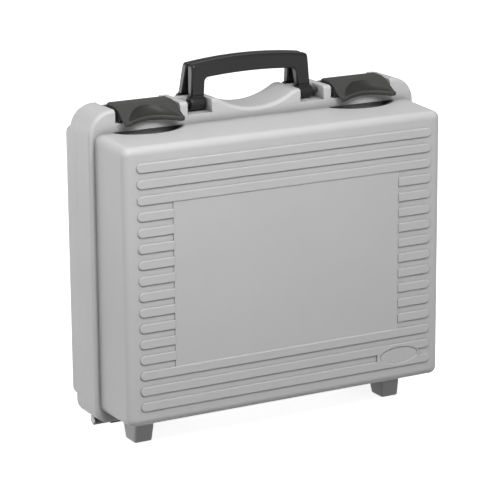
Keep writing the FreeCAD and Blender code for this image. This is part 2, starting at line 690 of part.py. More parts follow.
def foot(label, side, centre, y, length):
    """Tapered foot, let into the shell, with a stem through the wall."""
    body = new_body(label)
    middle_x = at(side, centre)
    wedge = body.newObject("PartDesign::AdditiveWedge", label + "_block")
    wedge.Placement.Rotation = FreeCAD.Rotation(FreeCAD.Vector(1, 0, 0), 90)
    for prefix, flare, slope in (("", "0", "0"), ("2", "Dims.foot_flare", "Dims.foot_slope")):
        half = f"(Dims.foot_width / 2 + {flare})"
        wedge.setExpression(f"X{prefix}min", f"({middle_x} - {half})")
        wedge.setExpression(f"X{prefix}max", f"({middle_x} + {half})")
        wedge.setExpression(f"Z{prefix}min", f"(-({y} + {length} + {slope}))")
        wedge.setExpression(f"Z{prefix}max", f"(-({y} - {slope}))")
    wedge.setExpression("Ymin", "0")
    wedge.setExpression("Ymax", foot_top)
    settle(wedge, True)
    fillet(body, "Dims.foot_radius",
           lambda edge: runs_along(edge, "Z") or flat_at(edge, "Z", 0))
    stem = new_sketch(body, "XY_Plane", foot_top)
    circle(stem, middle_x, f"({y} + {length} / 2)", "Dims.stem_radius")
    pad(body, stem, "Dims.wall - Dims.foot_seat + Dims.stem_lip")
    return body


def foot_seat(name, side, centre, y, length):
    """What a foot needs cut from its shell: a shallow seat and a stem hole."""
    half = "(Dims.foot_width / 2 + Dims.foot_flare + Dims.fit_gap)"
    grow = "(Dims.foot_slope + Dims.fit_gap)"
    seat = block(name + "_seat", f"({at(side, centre)} - {half})", f"({y} - {grow})", "0",
                 f"2 * {half}", f"{length} + 2 * {grow}", foot_top)
    hole = cylinder_z(name + "_hole", "Dims.stem_radius + Dims.fit_gap", at(side, centre),
                      f"({y} + {length} / 2)", foot_top, "Dims.wall + Dims.overrun")
    return [seat, hole]


front_foot_y = f"({front_y} + Dims.front_foot_setback)"
back_foot_y = f"({rim_back_y} + Dims.back_foot_setback)"
front_tools = []
back_tools = []
for side in sides:
    foot(f"front_foot_{side}", side, front_foot_centre, front_foot_y,
         "Dims.front_foot_length")
    foot(f"back_foot_{side}", side, back_foot_centre, back_foot_y,
         "Dims.back_foot_length")
    front_tools += foot_seat(f"front_foot_{side}", side, front_foot_centre,
                             front_foot_y, "Dims.front_foot_length")
    back_tools += foot_seat(f"back_foot_{side}", side, back_foot_centre,
                            back_foot_y, "Dims.back_foot_length")

# Handle halves

bar_top = f"({pivot_z} + Dims.grip_rise)"
bar_bottom = f"({bar_top} - Dims.grip_height)"
leg_inner = "(Dims.leg_outer - Dims.leg_width)"
outer_top = "(Dims.leg_outer - Dims.leg_taper)"
inner_top = f"({leg_inner} - Dims.leg_taper)"


def bail(label, pivot_y, low_front, low_back, high_front, high_back):
    """One half of the handle: an arched bar on two legs, with bored knuckles.

    The leg runs from low_front to low_back at the pin, the grip from high_front
    to high_back at its crown.
    """
    body = new_body(label)
    frame = face_sketch(body, pivot_y)
    corners = [("Dims.leg_outer", pivot_z), (outer_top, bar_top), (f"(-{outer_top})", bar_top),
               ("(-Dims.leg_outer)", pivot_z), (f"(-{leg_inner})", pivot_z),
               (f"(-{inner_top})", bar_bottom), (inner_top, bar_bottom), (leg_inner, pivot_z)]
    polygon(frame, corners, {1: "Dims.grip_arch", 5: "(Dims.grip_arch / 2)"})
    thick = "4 * Dims.grip_depth"
    pad(body, frame, thick, middle=True)

    crown = f"({bar_top} + Dims.grip_arch + Dims.overrun)"
    below = f"({pivot_z} - Dims.overrun)"
    front_limit = f"({pivot_y} - {thick})"
    back_limit = f"({pivot_y} + {thick})"
    faces = side_sketch(body, "0")
    polygon(faces, [(front_limit, below), (low_front, below), (low_front, pivot_z),
                    (high_front, crown), (front_limit, crown)])
    polygon(faces, [(back_limit, below), (low_back, below), (low_back, pivot_z),
                    (high_back, crown), (back_limit, crown)])
    pocket(body, faces, "3 * Dims.leg_outer", middle=True)

    outer, inner = value(outer_top), value(inner_top)

    def corner(edge, reach, level):
        box = edge.BoundBox
        return (box.YLength > box.DiagonalLength / 2 and abs(abs(box.XMin) - reach) < near
                and abs(box.ZMin - level) < near)

    fillet(body, "Dims.grip_outer_radius", lambda edge: corner(edge, outer, value(bar_top)))
    fillet(body, "Dims.grip_inner_radius", lambda edge: corner(edge, inner, value(bar_bottom)))
    fillet(body, "Dims.grip_radius",
           lambda edge: edge.BoundBox.YLength < edge.BoundBox.DiagonalLength / 2
           and not flat_at(edge, "Z", value(pivot_z)))

    start = "(Dims.leg_outer - Dims.leg_width / 2 - Dims.knuckle_width / 2)"
    for radius, build in (("Dims.knuckle_radius", pad),
                          ("Dims.handle_pin_radius + Dims.fit_gap", pocket)):
        for low_x in (start, f"(-{start} - Dims.knuckle_width)"):
            ring = side_sketch(body, low_x)
            circle(ring, pivot_y, pivot_z, radius)
            build(body, ring, "Dims.knuckle_width", reverse=(build is pocket))
    return body


front_low = f"({front_pivot_y} - Dims.leg_depth / 2)"
front_high = f"({front_low} + Dims.front_lean)"
back_low = f"({back_pivot_y} - Dims.leg_depth / 2)"
joint_y = f"({front_high} + Dims.grip_depth)"
bail("front_handle", front_pivot_y, front_low, f"({front_low} + Dims.leg_depth)",
     front_high, joint_y)
bail("back_handle", back_pivot_y, back_low, f"({back_low} + Dims.leg_depth)",
     f"({joint_y} + Dims.grip_gap)", f"({joint_y} + Dims.grip_gap + Dims.back_grip_depth)")

# Pins of the handle halves

def wall_pin(label, side, centre, width, y, z, radius):
    """Pin across a pocket, with both ends let into its walls."""
    length = f"({width} + 2 * Dims.pin_seat - 2 * Dims.side_gap)"
    return cylinder_x(label, radius, low_end(side, centre, length), length, y, z)


def pin_hole(label, side, centre, width, y, z, radius):
    """Hole for such a pin, right through both walls of the pocket."""
    length = f"({width} + 2 * Dims.pin_seat)"
    return cylinder_x(label, f"({radius} + Dims.fit_gap)", low_end(side, centre, length),
                      length, y, z)


for side in sides:
    wall_pin(f"front_handle_pin_{side}", side, pocket_centre, pocket_width,
             front_pivot_y, pivot_z, "Dims.handle_pin_radius")
    front_tools.append(pin_hole(f"front_handle_hole_{side}", side, pocket_centre,
                                pocket_width, front_pivot_y, pivot_z,
                                "Dims.handle_pin_radius"))
    wall_pin(f"back_handle_pin_{side}", side, pocket_centre, pocket_width,
             back_pivot_y, pivot_z, "Dims.handle_pin_radius")
    back_tools.append(pin_hole(f"back_handle_hole_{side}", side, pocket_centre,
                               pocket_width, back_pivot_y, pivot_z,
                               "Dims.handle_pin_radius"))
    wall_pin(f"latch_pin_{side}", side, notch_centre, "Dims.notch_width",
             latch_pin_y, latch_pin_z, "Dims.latch_pin_radius")
    back_tools.append(pin_hole(f"latch_hole_{side}", side, notch_centre,
                               "Dims.notch_width", latch_pin_y, latch_pin_z,
                               "Dims.latch_pin_radius"))

# Latches: shares of the reach forward of the pin and of the crest's height above it

end_shares = (
    (0, 0.46), (0.122, 0.8), (0.245, 1), (0.49, 0.94), (0.686, 0.553), (0.816, 0),
    (0.953, -0.4), (1, -0.61), (0.973, -0.86), (0.908, -0.66), (0.786, -0.306),
    (0.653, 0.247), (0.49, 0.635), (0.245, 0.694), (0.06, 0.1))
middle_shares = (
    (0, 0.46), (0.122, 0.8), (0.245, 1), (0.47, 0.93), (0.602, 0.647), (0.684, 0.13),
    (0.765, -0.035), (0.81, -0.106), (0.804, -0.365), (0.755, -0.294), (0.673, -0.176),
    (0.582, 0.318), (0.45, 0.624), (0.245, 0.694), (0.06, 0.1))
station_shares = (-1, -0.82, -0.45, 0, 0.45, 0.82, 1)
scoop_shares = (0, 0.06, 0.74, 1, 0.74, 0.06, 0)
skirt_shares = ((0.245, 0.8), (0.49, 0.74))
skirt_front_share = 0.318
claw_top_share = 0.7


def latch_y(share):
    return f"({latch_pin_y} - Dims.latch_reach * {share:.4f})"


def latch_z(share):
    return f"({latch_pin_z} + Dims.latch_rise * {share:.4f})"


def latch(label, side):
    """Lever hooked over the ridge: scooped cover, skirts, barrel and claw."""
    body = new_body(label)
    middle_x = at(side, notch_centre)
    low_x = low_end(side, notch_centre, latch_width)
    high_x = f"({low_x} + {latch_width})"
    sections = []
    for station, scoop in zip(station_shares, scoop_shares):
        section = side_sketch(body, f"({middle_x} + {latch_width} / 2 * {station})")
        corners = [(latch_y(end_y + (mid_y - end_y) * scoop), latch_z(end_z + (mid_z - end_z) * scoop))
                   for (end_y, end_z), (mid_y, mid_z) in zip(end_shares, middle_shares)]
        polygon(section, corners)
        sections.append(section)
    cover = body.newObject("PartDesign::AdditiveLoft", label + "_cover")
    cover.Profile = sections[0]
    cover.Sections = sections[1:]
    settle(cover, True)

    skirt_low = f"({notch_floor} + Dims.latch_floor_gap)"
    skirt_front = f"({rim_y} + Dims.side_gap)"
    skirt = [(skirt_front, skirt_low), (f"({parting_y} - Dims.latch_setback)", skirt_low),
             (latch_pin_y, f"({latch_pin_z} - Dims.latch_barrel_radius / 2)"),
             (latch_pin_y, f"({latch_pin_z} + Dims.latch_barrel_radius / 2)")]
    skirt += [(latch_y(reach), latch_z(rise)) for reach, rise in skirt_shares]
    skirt += [(skirt_front, latch_z(skirt_front_share))]
    for start in (low_x, f"({high_x} - Dims.latch_skirt)"):
        side_wall = side_sketch(body, start)
        polygon(side_wall, skirt)
        pad(body, side_wall, "Dims.latch_skirt")

    # Front skirt, in two lengths that leave room for the keeper between them
    gap = "(Dims.keeper_width / 2 + Dims.latch_skirt)"
    for left, right in ((low_x, f"({middle_x} - {gap})"), (f"({middle_x} + {gap})", high_x)):
        brace = face_sketch(body, f"({skirt_front} + Dims.latch_skirt)")
        rectangle(brace, left, right, skirt_low, latch_pin_z)
        pad(body, brace, "Dims.latch_skirt")

    barrel = side_sketch(body, low_x)
    circle(barrel, latch_pin_y, latch_pin_z, "Dims.latch_barrel_radius")
    pad(body, barrel, latch_width)

    claw_y = f"({rim_y} + Dims.claw_setback)"
    claw_low = f"({notch_floor} + Dims.keeper_sheet + Dims.keeper_bead + Dims.claw_gap)"
    claw = side_sketch(body, f"({middle_x} - Dims.claw_width / 2)")
    rectangle(claw, claw_y, f"({claw_y} + Dims.claw_thickness)", claw_low,
              latch_z(claw_top_share))
    pad(body, claw, "Dims.claw_width")

    bore = side_sketch(body, low_x)
    circle(bore, latch_pin_y, latch_pin_z, "Dims.latch_pin_radius + Dims.fit_gap")
    pocket(body, bore, latch_width, reverse=True)
    return body


# Latch keepers and their screws

keeper_y = f"({rim_y} + Dims.keeper_setback)"
keeper_end_y = f"({keeper_y} + Dims.keeper_length)"
keeper_top = f"({notch_floor} + Dims.keeper_sheet)"
screw_y = f"({keeper_end_y} - Dims.screw_setback)"


def screw_places(side):
    middle_x = at(side, notch_centre)
    return [f"({middle_x} {sign} Dims.screw_spacing / 2)" for sign in "-+"]


def keeper(label, side):
    """Pressed steel plate on the notch floor, with a raised bar across it."""
    body = new_body(label)
    profile = side_sketch(body, low_end(side, notch_centre, "Dims.keeper_width"))
    bead_y = f"({keeper_y} + Dims.keeper_length / 2)"
    bead_top = f"({keeper_top} + Dims.keeper_bead)"
    polygon(profile, [(keeper_y, notch_floor), (keeper_end_y, notch_floor),
                      (keeper_end_y, keeper_top), (f"({bead_y} + Dims.keeper_bead)", keeper_top),
                      (f"({bead_y} + Dims.keeper_bead / 2)", bead_top),
                      (f"({bead_y} - Dims.keeper_bead / 2)", bead_top),
                      (f"({bead_y} - Dims.keeper_bead)", keeper_top), (keeper_y, keeper_top)])
    pad(body, profile, "Dims.keeper_width")
    holes = new_sketch(body, "XY_Plane", keeper_top)
    for place in screw_places(side):
        circle(holes, place, screw_y, "Dims.screw_radius + Dims.fit_gap")
    pocket(body, holes, "Dims.keeper_sheet")
    return body


def headed_pin(label, x, y, z, shank_z, shank_radius, shank_length, head_radius, head_height,
               head_below):
    """Screw or rivet along Z: a shank from shank_z up, and a tapered head at z."""
    shank = cylinder_z(label + "_shank", shank_radius, x, y, shank_z, shank_length)
    wide, narrow = ("Radius2", "Radius1") if head_below else ("Radius1", "Radius2")
    radii = {wide: head_radius, narrow: f"(({head_radius} + {shank_radius}) / 2)"}
    head = primitive("Part::Cone", label + "_head", x, y,
                     f"({z} - {head_height})" if head_below else z, Height=head_height, **radii)
    return fuse(label, [shank, head])


def group(label, items):
    """Identical fasteners, kept as separate solids in one sub-part."""
    bundle = doc.addObject("Part::Compound", label)
    bundle.Links = items
    bundle.Label = label
    return bundle


screws = []
for side in sides:
    latch(f"latch_{side}", side)
    keeper(f"latch_keeper_{side}", side)
    for number, place in enumerate(screw_places(side), start=1):
        name = f"keeper_screw_{side}_{number}"
        low = f"({notch_floor} - Dims.screw_length)"
        screws.append(headed_pin(name, place, screw_y, keeper_top, low, "Dims.screw_radius",
                                 "(Dims.screw_length + Dims.keeper_sheet)",
                                 "Dims.screw_head_radius", "Dims.screw_head_height", False))
        front_tools.append(cylinder_z(name + "_hole", "(Dims.screw_radius + Dims.fit_gap)",
                                      place, screw_y, low,
                                      "(Dims.screw_length + Dims.overrun)"))
keeper_screws = group("keeper_screws", screws)

# Hinges

leaf_low_z = f"({rim_bottom} - Dims.hinge_sheet)"
knuckle_length = "(Dims.hinge_width / Dims.hinge_knuckles)"


def hinge_span(side, start, end):
    """Low X end and length of a span given from the inner end of the hinge."""
    inner = f"({hinge_centre} - Dims.hinge_width / 2)"
    low = f"({inner} + {start})" if side == "right" else f"(-({inner} + {end}))"
    return low, f"({end} - {start})"


def knuckle_bars(label, side, first, radius, grow):
    """Every second knuckle from first on, as bars wider by grow at each end."""
    bars = []
    for number in range(first, round(value("Dims.hinge_knuckles")), 2):
        start = f"({knuckle_length} * {number} - {grow})"
        end = f"({knuckle_length} * {number + 1} + {grow})"
        low, length = hinge_span(side, start, end)
        bars.append(cylinder_x(f"{label}_{number}", radius, low, length, parting_y, hinge_z))
    return bars


def rivet_places(side):
    middle = "((Dims.hinge_width - Dims.leaf_setback) / 2)"
    low, length = hinge_span(side, f"({middle} - Dims.rivet_spacing / 2)",
                             f"({middle} + Dims.rivet_spacing / 2)")
    return [low, f"({low} + {length})"]


def hinge_leaf(label, side, first, low_y, depth, rivet_y):
    """Leaf under the rim with its own knuckles, cut out round the other leaf's."""
    low, length = hinge_span(side, "0", "(Dims.hinge_width - Dims.leaf_setback)")
    plate = block(label + "_plate", low, low_y, leaf_low_z, length, depth, "Dims.hinge_sheet")
    own = knuckle_bars(label + "_knuckle", side, first, "Dims.hinge_radius",
                       "(-Dims.side_gap / 2)")
    others = knuckle_bars(label + "_relief", side, 1 - first,
                          "(Dims.hinge_radius + Dims.side_gap)", "(Dims.side_gap / 2)")
    bore_low, bore_length = hinge_span(side, "(-Dims.overrun)",
                                       "(Dims.hinge_width + Dims.overrun)")
    bore = cylinder_x(label + "_bore", "(Dims.hinge_pin_radius + Dims.fit_gap)", bore_low,
                      bore_length, parting_y, hinge_z)
    holes = [cylinder_z(f"{label}_hole_{n}", "(Dims.rivet_radius + Dims.fit_gap)", place, rivet_y,
                        leaf_low_z, "Dims.hinge_sheet")
             for n, place in enumerate(rivet_places(side))]
    return cut(label, fuse(label + "_solid", [plate] + own), others + [bore] + holes)


front_leaf_y = f"({parting_y} - Dims.hinge_radius - Dims.front_leaf_length)"
front_rivet_y = f"({front_leaf_y} + Dims.front_leaf_length / 2)"
back_rivet_y = f"({parting_y} + Dims.hinge_radius + Dims.back_leaf_length / 2)"
leaves = {
    "front": (0, front_leaf_y, "(Dims.hinge_radius + Dims.front_leaf_length)", front_rivet_y,
              front_tools),
    "back": (1, parting_y, "(Dims.hinge_radius + Dims.back_leaf_length)", back_rivet_y,
             back_tools),
}
rivets = {"front": [], "back": []}
for side in sides:
    for end, (first, low_y, depth, rivet_y, tools) in leaves.items():
        hinge_leaf(f"{end}_hinge_leaf_{side}", side, first, low_y, depth, rivet_y)
        for number, place in enumerate(rivet_places(side), start=1):
            name = f"{end}_rivet_{side}_{number}"
            rivets[end].append(headed_pin(
                name, place, rivet_y, leaf_low_z, leaf_low_z, "Dims.rivet_radius",
                "(Dims.hinge_sheet + Dims.rivet_length)", "Dims.rivet_head_radius",
                "Dims.rivet_head_height", True))
            tools.append(cylinder_z(name + "_hole", "(Dims.rivet_radius + Dims.fit_gap)", place,
                                    rivet_y, f"({rim_bottom} - Dims.overrun)",
                                    "(Dims.rivet_length + Dims.overrun)"))
        recess = "(Dims.pin_head + Dims.side_gap)"
        low, length = hinge_span(side, f"(-{recess})", f"(Dims.hinge_width + {recess})")
        tools.append(cylinder_x(f"{end}_hinge_recess_{side}",
                                "(Dims.hinge_radius + Dims.side_gap)", low, length, parting_y,
                                hinge_z))
    low, length = hinge_span(side, "(-Dims.pin_head)", "(Dims.hinge_width + Dims.pin_head)")
    cylinder_x(f"hinge_pin_{side}", "Dims.hinge_pin_radius", low, length, parting_y, hinge_z)
group("front_hinge_rivets", rivets["front"])
group("back_hinge_rivets", rivets["back"])

# Badge place of the front shell

badge = primitive("Part::Ellipse", "badge_outline", badge_centre,
                  f"({front_y} + Dims.badge_depth)", f"({bottom_row} + Dims.row_pitch / 2)",
                  MajorRadius="Dims.badge_half_width", MinorRadius="Dims.badge_half_height")
badge.Placement.Rotation = FreeCAD.Rotation(FreeCAD.Vector(1, 0, 0), 90)
badge_cut = doc.addObject("Part::Extrusion", "badge_cut")
badge_cut.Base = badge
badge_cut.DirMode = "Custom"
badge_cut.Dir = FreeCAD.Vector(0, -1, 0)
badge_cut.Solid = True
badge_cut.setExpression("LengthFwd", "Dims.badge_depth + Dims.overrun")
front_tools.append(badge_cut)

cut("front_shell", front, front_tools)
cut("back_shell", back, back_tools)
doc.recompute()

# Check every object, then write one file per sub-part

nodes = ["front_shell", "back_shell", "front_handle", "back_handle", "keeper_screws",
         "front_hinge_rivets", "back_hinge_rivets"]
for side in sides:
    nodes += [f"{name}_{side}" for name in (
        "front_foot", "back_foot", "front_handle_pin", "back_handle_pin", "latch", "latch_pin",
        "latch_keeper", "front_hinge_leaf", "back_hinge_leaf", "hinge_pin")]
for item in doc.Objects:
    if "Invalid" in item.State or "Error" in item.State:
        raise SystemExit(f"{item.Label} failed: {item.State}")
parts = {}
for name in nodes:
    found = doc.getObjectsByLabel(name)
    if len(found) != 1:
        raise SystemExit(f"{name}: {len(found)} objects carry this label")
    shape = found[0].Shape
    if shape.isNull() or not shape.isValid() or not shape.Solids:
        raise SystemExit(f"{name} has no valid shape")
    parts[name] = shape

os.makedirs("parts", exist_ok=True)
for name, shape in parts.items():
    shape.exportStep(f"parts/{name}.step")
    box = shape.BoundBox
    print(f"{name}: {len(shape.Solids)} solid(s), {shape.Volume:.0f} mm3, "
          f"X {box.XMin:.1f} {box.XMax:.1f}, Y {box.YMin:.1f} {box.YMax:.1f}, "
          f"Z {box.ZMin:.1f} {box.ZMax:.1f}")
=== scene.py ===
import json
import math
import bpy
import bmesh
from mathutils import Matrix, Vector


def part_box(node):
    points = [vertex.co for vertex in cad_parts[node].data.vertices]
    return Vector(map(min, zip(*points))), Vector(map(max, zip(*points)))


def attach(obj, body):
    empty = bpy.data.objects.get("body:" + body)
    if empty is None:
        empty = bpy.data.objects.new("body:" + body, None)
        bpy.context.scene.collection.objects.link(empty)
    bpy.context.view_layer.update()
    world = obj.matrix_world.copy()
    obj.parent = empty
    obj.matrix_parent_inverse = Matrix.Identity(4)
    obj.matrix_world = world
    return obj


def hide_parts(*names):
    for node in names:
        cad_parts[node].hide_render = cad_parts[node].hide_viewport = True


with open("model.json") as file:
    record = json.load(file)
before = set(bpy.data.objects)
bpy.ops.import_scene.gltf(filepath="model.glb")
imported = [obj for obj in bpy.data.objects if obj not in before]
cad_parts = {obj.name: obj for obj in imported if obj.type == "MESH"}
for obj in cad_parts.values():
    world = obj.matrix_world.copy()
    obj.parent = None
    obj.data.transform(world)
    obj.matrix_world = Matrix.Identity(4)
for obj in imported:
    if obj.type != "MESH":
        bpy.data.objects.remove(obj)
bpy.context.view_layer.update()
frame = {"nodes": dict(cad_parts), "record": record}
nodes = frame["nodes"]
scene = bpy.context.scene
mm = 0.001
sides = {"left": -1, "right": 1}
print("frame loaded:", len(nodes), "nodes")

# where the photograph was taken from
cameraPlace = {
    "location": (-1.00384, -1.81972, 0.70046),
    "turn": (75.1796, 0.4350, -28.8651),  # degrees
    "lens": 172.8,
    "sensor": 36,
    "near": 0.05,
}
cameraData = bpy.data.cameras.new("camera")
cameraData.lens = cameraPlace["lens"]
cameraData.sensor_width = cameraPlace["sensor"]
cameraData.clip_start = cameraPlace["near"]
camera = bpy.data.objects.new("camera", cameraData)
camera.location = cameraPlace["location"]
camera.rotation_euler = [math.radians(turn) for turn in cameraPlace["turn"]]
scene.collection.objects.link(camera)
scene.camera = camera

# pale floor, soft sky and studio lamps
stageLook = {
    "floorSize": 40,
    "floorColour": (0.93, 0.93, 0.93, 1),
    "floorGlow": 0.9,
    "floorRough": 0.9,
    "floorShine": 0.1,
    "skyHigh": 0.54,
    "skyMiddle": 0.32,
    "skyLow": 0.06,
    "horizon": (0.48, 0.52),     # where the sky turns, from straight down to straight up
    "lampAim": (0, 0, 0.17),
    "viewTransform": "Standard",
}
lamps = {
    "keyLamp": {"at": (-0.18, -0.66, 0.86), "size": (0.5, 0.4), "power": 7.4},
    "sideLamp": {"at": (-1.6, 0.12, 0.62), "size": (0.9, 0.7), "power": 6.3},
    "fillLamp": {"at": (1.1, -1.7, 0.9), "size": (1.0, 0.9), "power": 1.8},
    "topLamp": {"at": (-0.05, -0.32, 1.2), "size": (0.45, 0.45), "power": 0.9},
    "glintLamp": {"at": (-0.62, 1.05, 0.2), "size": (0.7, 0.6), "power": 2.6},
}


def newMaterial(name):
    made = bpy.data.materials.new(name)
    made.use_nodes = True
    tree = made.node_tree
    tree.nodes.clear()
    return made, tree


def node(tree, kind, sockets=None, **settings):
    made = tree.nodes.new(kind)
    for key, value in settings.items():
        setattr(made, key, value)
    for key, value in (sockets or {}).items():
        if isinstance(value, bpy.types.NodeSocket):
            tree.links.new(value, made.inputs[key])
        else:
            made.inputs[key].default_value = value
    return made


def makeFloor(look):
    mesh = bpy.data.meshes.new("floor")
    half = look["floorSize"] / 2
    mesh.from_pydata([(-half, -half, 0), (half, -half, 0), (half, half, 0), (-half, half, 0)],
                     [], [(0, 1, 2, 3)])
    floor = bpy.data.objects.new("floor", mesh)
    scene.collection.objects.link(floor)
    made, tree = newMaterial("paleFloor")
    shader = node(tree, "ShaderNodeBsdfPrincipled", {
        "Base Color": look["floorColour"], "Roughness": look["floorRough"],
        "Specular IOR Level": look["floorShine"], "Emission Color": look["floorColour"],
        "Emission Strength": look["floorGlow"]})
    node(tree, "ShaderNodeOutputMaterial", {"Surface": shader.outputs["BSDF"]})
    mesh.materials.append(made)
    floor.visible_diffuse = False  # the case is lit by the sky below, darker than the floor


def makeSky(look):
    world = bpy.data.worlds.new("studio")
    scene.world = world
    world.use_nodes = True
    tree = world.node_tree
    tree.nodes.clear()
    place = node(tree, "ShaderNodeTexCoord")
    split = node(tree, "ShaderNodeSeparateXYZ", {"Vector": place.outputs["Generated"]})
    height = node(tree, "ShaderNodeMapRange", {
        "Value": split.outputs["Z"], "From Min": -1, "From Max": 1})
    ramp = node(tree, "ShaderNodeValToRGB", {"Fac": height.outputs["Result"]})
    below, above = look["horizon"]
    levels = [(0, look["skyLow"]), (below, look["skyLow"]), (above, look["skyMiddle"]),
              (1, look["skyHigh"])]
    while len(ramp.color_ramp.elements) < len(levels):
        ramp.color_ramp.elements.new(0.5)
    for stop, (at, level) in zip(ramp.color_ramp.elements, levels):
        stop.position = at
        stop.color = (level, level, level, 1)
    shine = node(tree, "ShaderNodeBackground", {"Color": ramp.outputs["Color"]})
    node(tree, "ShaderNodeOutputWorld", {"Surface": shine.outputs["Background"]})


def makeLamps(settings, aim):
    for name, setting in settings.items():
        data = bpy.data.lights.new(name, "AREA")
        data.shape = "RECTANGLE"
        data.size, data.size_y = setting["size"]
        data.energy = setting["power"]
        lamp = bpy.data.objects.new(name, data)
        lamp.location = setting["at"]
        lamp.rotation_euler = (Vector(aim) - lamp.location).to_track_quat("-Z", "Y").to_euler()
        lamp.visible_camera = False
        scene.collection.objects.link(lamp)


makeFloor(stageLook)
makeSky(stageLook)
makeLamps(lamps, stageLook["lampAim"])
scene.view_settings.view_transform = stageLook["viewTransform"]
print("stage ready:", len(lamps), "lamps")

# finishes: colour, its drift, roughness, the fine grain of the mould, edges lightened for wear
# and as a painted highlight, and how far and how much the hollows are darkened as painted shade
finishes = {
    "shell": {"colour": (0.50, 0.50, 0.505), "drift": 0.02, "rough": 0.45, "grain": 0.00045,
              "depth": 0.00003, "edge": 0.0009, "edgeWearAndHighlight": 1.5, "shine": 0.5,
              "hollow": 0.014, "deepestShade": 0.16, "nook": (0.3, 0.88)},
    "foot": {"colour": (0.48, 0.48, 0.485), "drift": 0.03, "rough": 0.5, "grain": 0.0005,
             "depth": 0.00003, "edge": 0.0006, "edgeWearAndHighlight": 1.1, "shine": 0.4,
             "hollow": 0.01, "deepestShade": 0.7, "nook": (0.3, 0.85)},
    "handle": {"colour": (0.013, 0.013, 0.0135), "drift": 0.12, "rough": 0.36, "grain": 0.0004,
               "depth": 0.00003, "edge": 0.0005, "edgeWearAndHighlight": 1.6, "shine": 0.33,
               "hollow": 0.004, "deepestShade": 0.6, "nook": (0.3, 0.85)},
    # the latch's edges are lightened strongly, mostly as a painted highlight along its lip,
    # partly as wear
    "latch": {"colour": (0.048, 0.048, 0.045), "drift": 0.08, "rough": 0.46, "grain": 0.0004,
              "depth": 0.00002, "edge": 0.0008, "edgeWearAndHighlight": 3.0, "shine": 0.24,
              "hollow": 0.011, "deepestShade": 0.12, "nook": (0.5, 0.97)},
}
# the thumb scoop of a latch is painted darker, as painted shade, and its edges are not lightened
finishes["thumb"] = {**finishes["latch"], "colour": (0.027, 0.027, 0.0255), "edgeWearAndHighlight": 1.0}
metals = {
    "pin": {"colour": (0.33, 0.33, 0.32), "rough": 0.42, "streak": 900},
    "keeper": {"colour": (0.58, 0.58, 0.55), "rough": 0.34, "streak": 400},
    "screw": {"colour": (0.6, 0.6, 0.57), "rough": 0.3, "streak": 700},
}
coats = {
    "hinge": {"colour": (0.02, 0.02, 0.021), "rough": 0.32},
    "rivet": {"colour": (0.022, 0.022, 0.023), "rough": 0.28},
    "darkPin": {"colour": (0.03, 0.03, 0.031), "rough": 0.3},
}
noiseSpan = (0.3, 0.7)     # the part of a noise that is spread over a whole range
plasticBase = {
    "cloudScale": 14,      # slow drift of the colour
    "cloudDetail": 4,
    "cloudRough": 0.6,
    "wearAndHighlightTurn": (0.99, 0.85),   # cosine of the turn over an edge, from unlightened to fully lightened, for wear and as a painted highlight
    "scuffScale": 160,
    "scuffDetail": 3,
    "grainStrength": 0.5,
    "polishScale": 9,
    "polishDetail": 2,
    "polishDrift": 0.05,
    "ior": 1.5,
    "bevelSamples": 4,
    "nookSamples": 6,
}
metalBase = {
    "stretch": (0.06, 1, 1),   # drawing marks run along X
    "detail": 3,
    "tones": (0.86, 1.08),
    "roughSpan": (-0.08, 0.1),
}
coatBase = {
    "peelScale": 1300,
    "peelDetail": 2,
    "peelDepth": 0.00002,
    "peelStrength": 0.6,
    "wearScale": 120,
    "wearDetail": 4,
    "tones": (0.8, 1.5),
    "roughSpan": (-0.06, 0.1),
}


def shade(colour, factor):
    return tuple(min(1, part * factor) for part in colour) + (1,)


def twoTone(tree, share, colour, tones, span=(0, 1)):
    # ramp between a darker and a lighter tone of one colour
    ramp = node(tree, "ShaderNodeValToRGB", {"Fac": share})
    for stop, tone, at in zip(ramp.color_ramp.elements, tones, span):
        stop.position = at
        stop.color = shade(colour, tone)
    return ramp.outputs["Color"]


def roughness(tree, share, middle, span, noise=noiseSpan):
    # roughness that follows a noise about its middle value
    spread = node(tree, "ShaderNodeMapRange", {
        "Value": share, "From Min": noise[0], "From Max": noise[1],
        "To Min": middle + span[0], "To Max": middle + span[1]})
    return spread.outputs["Result"]


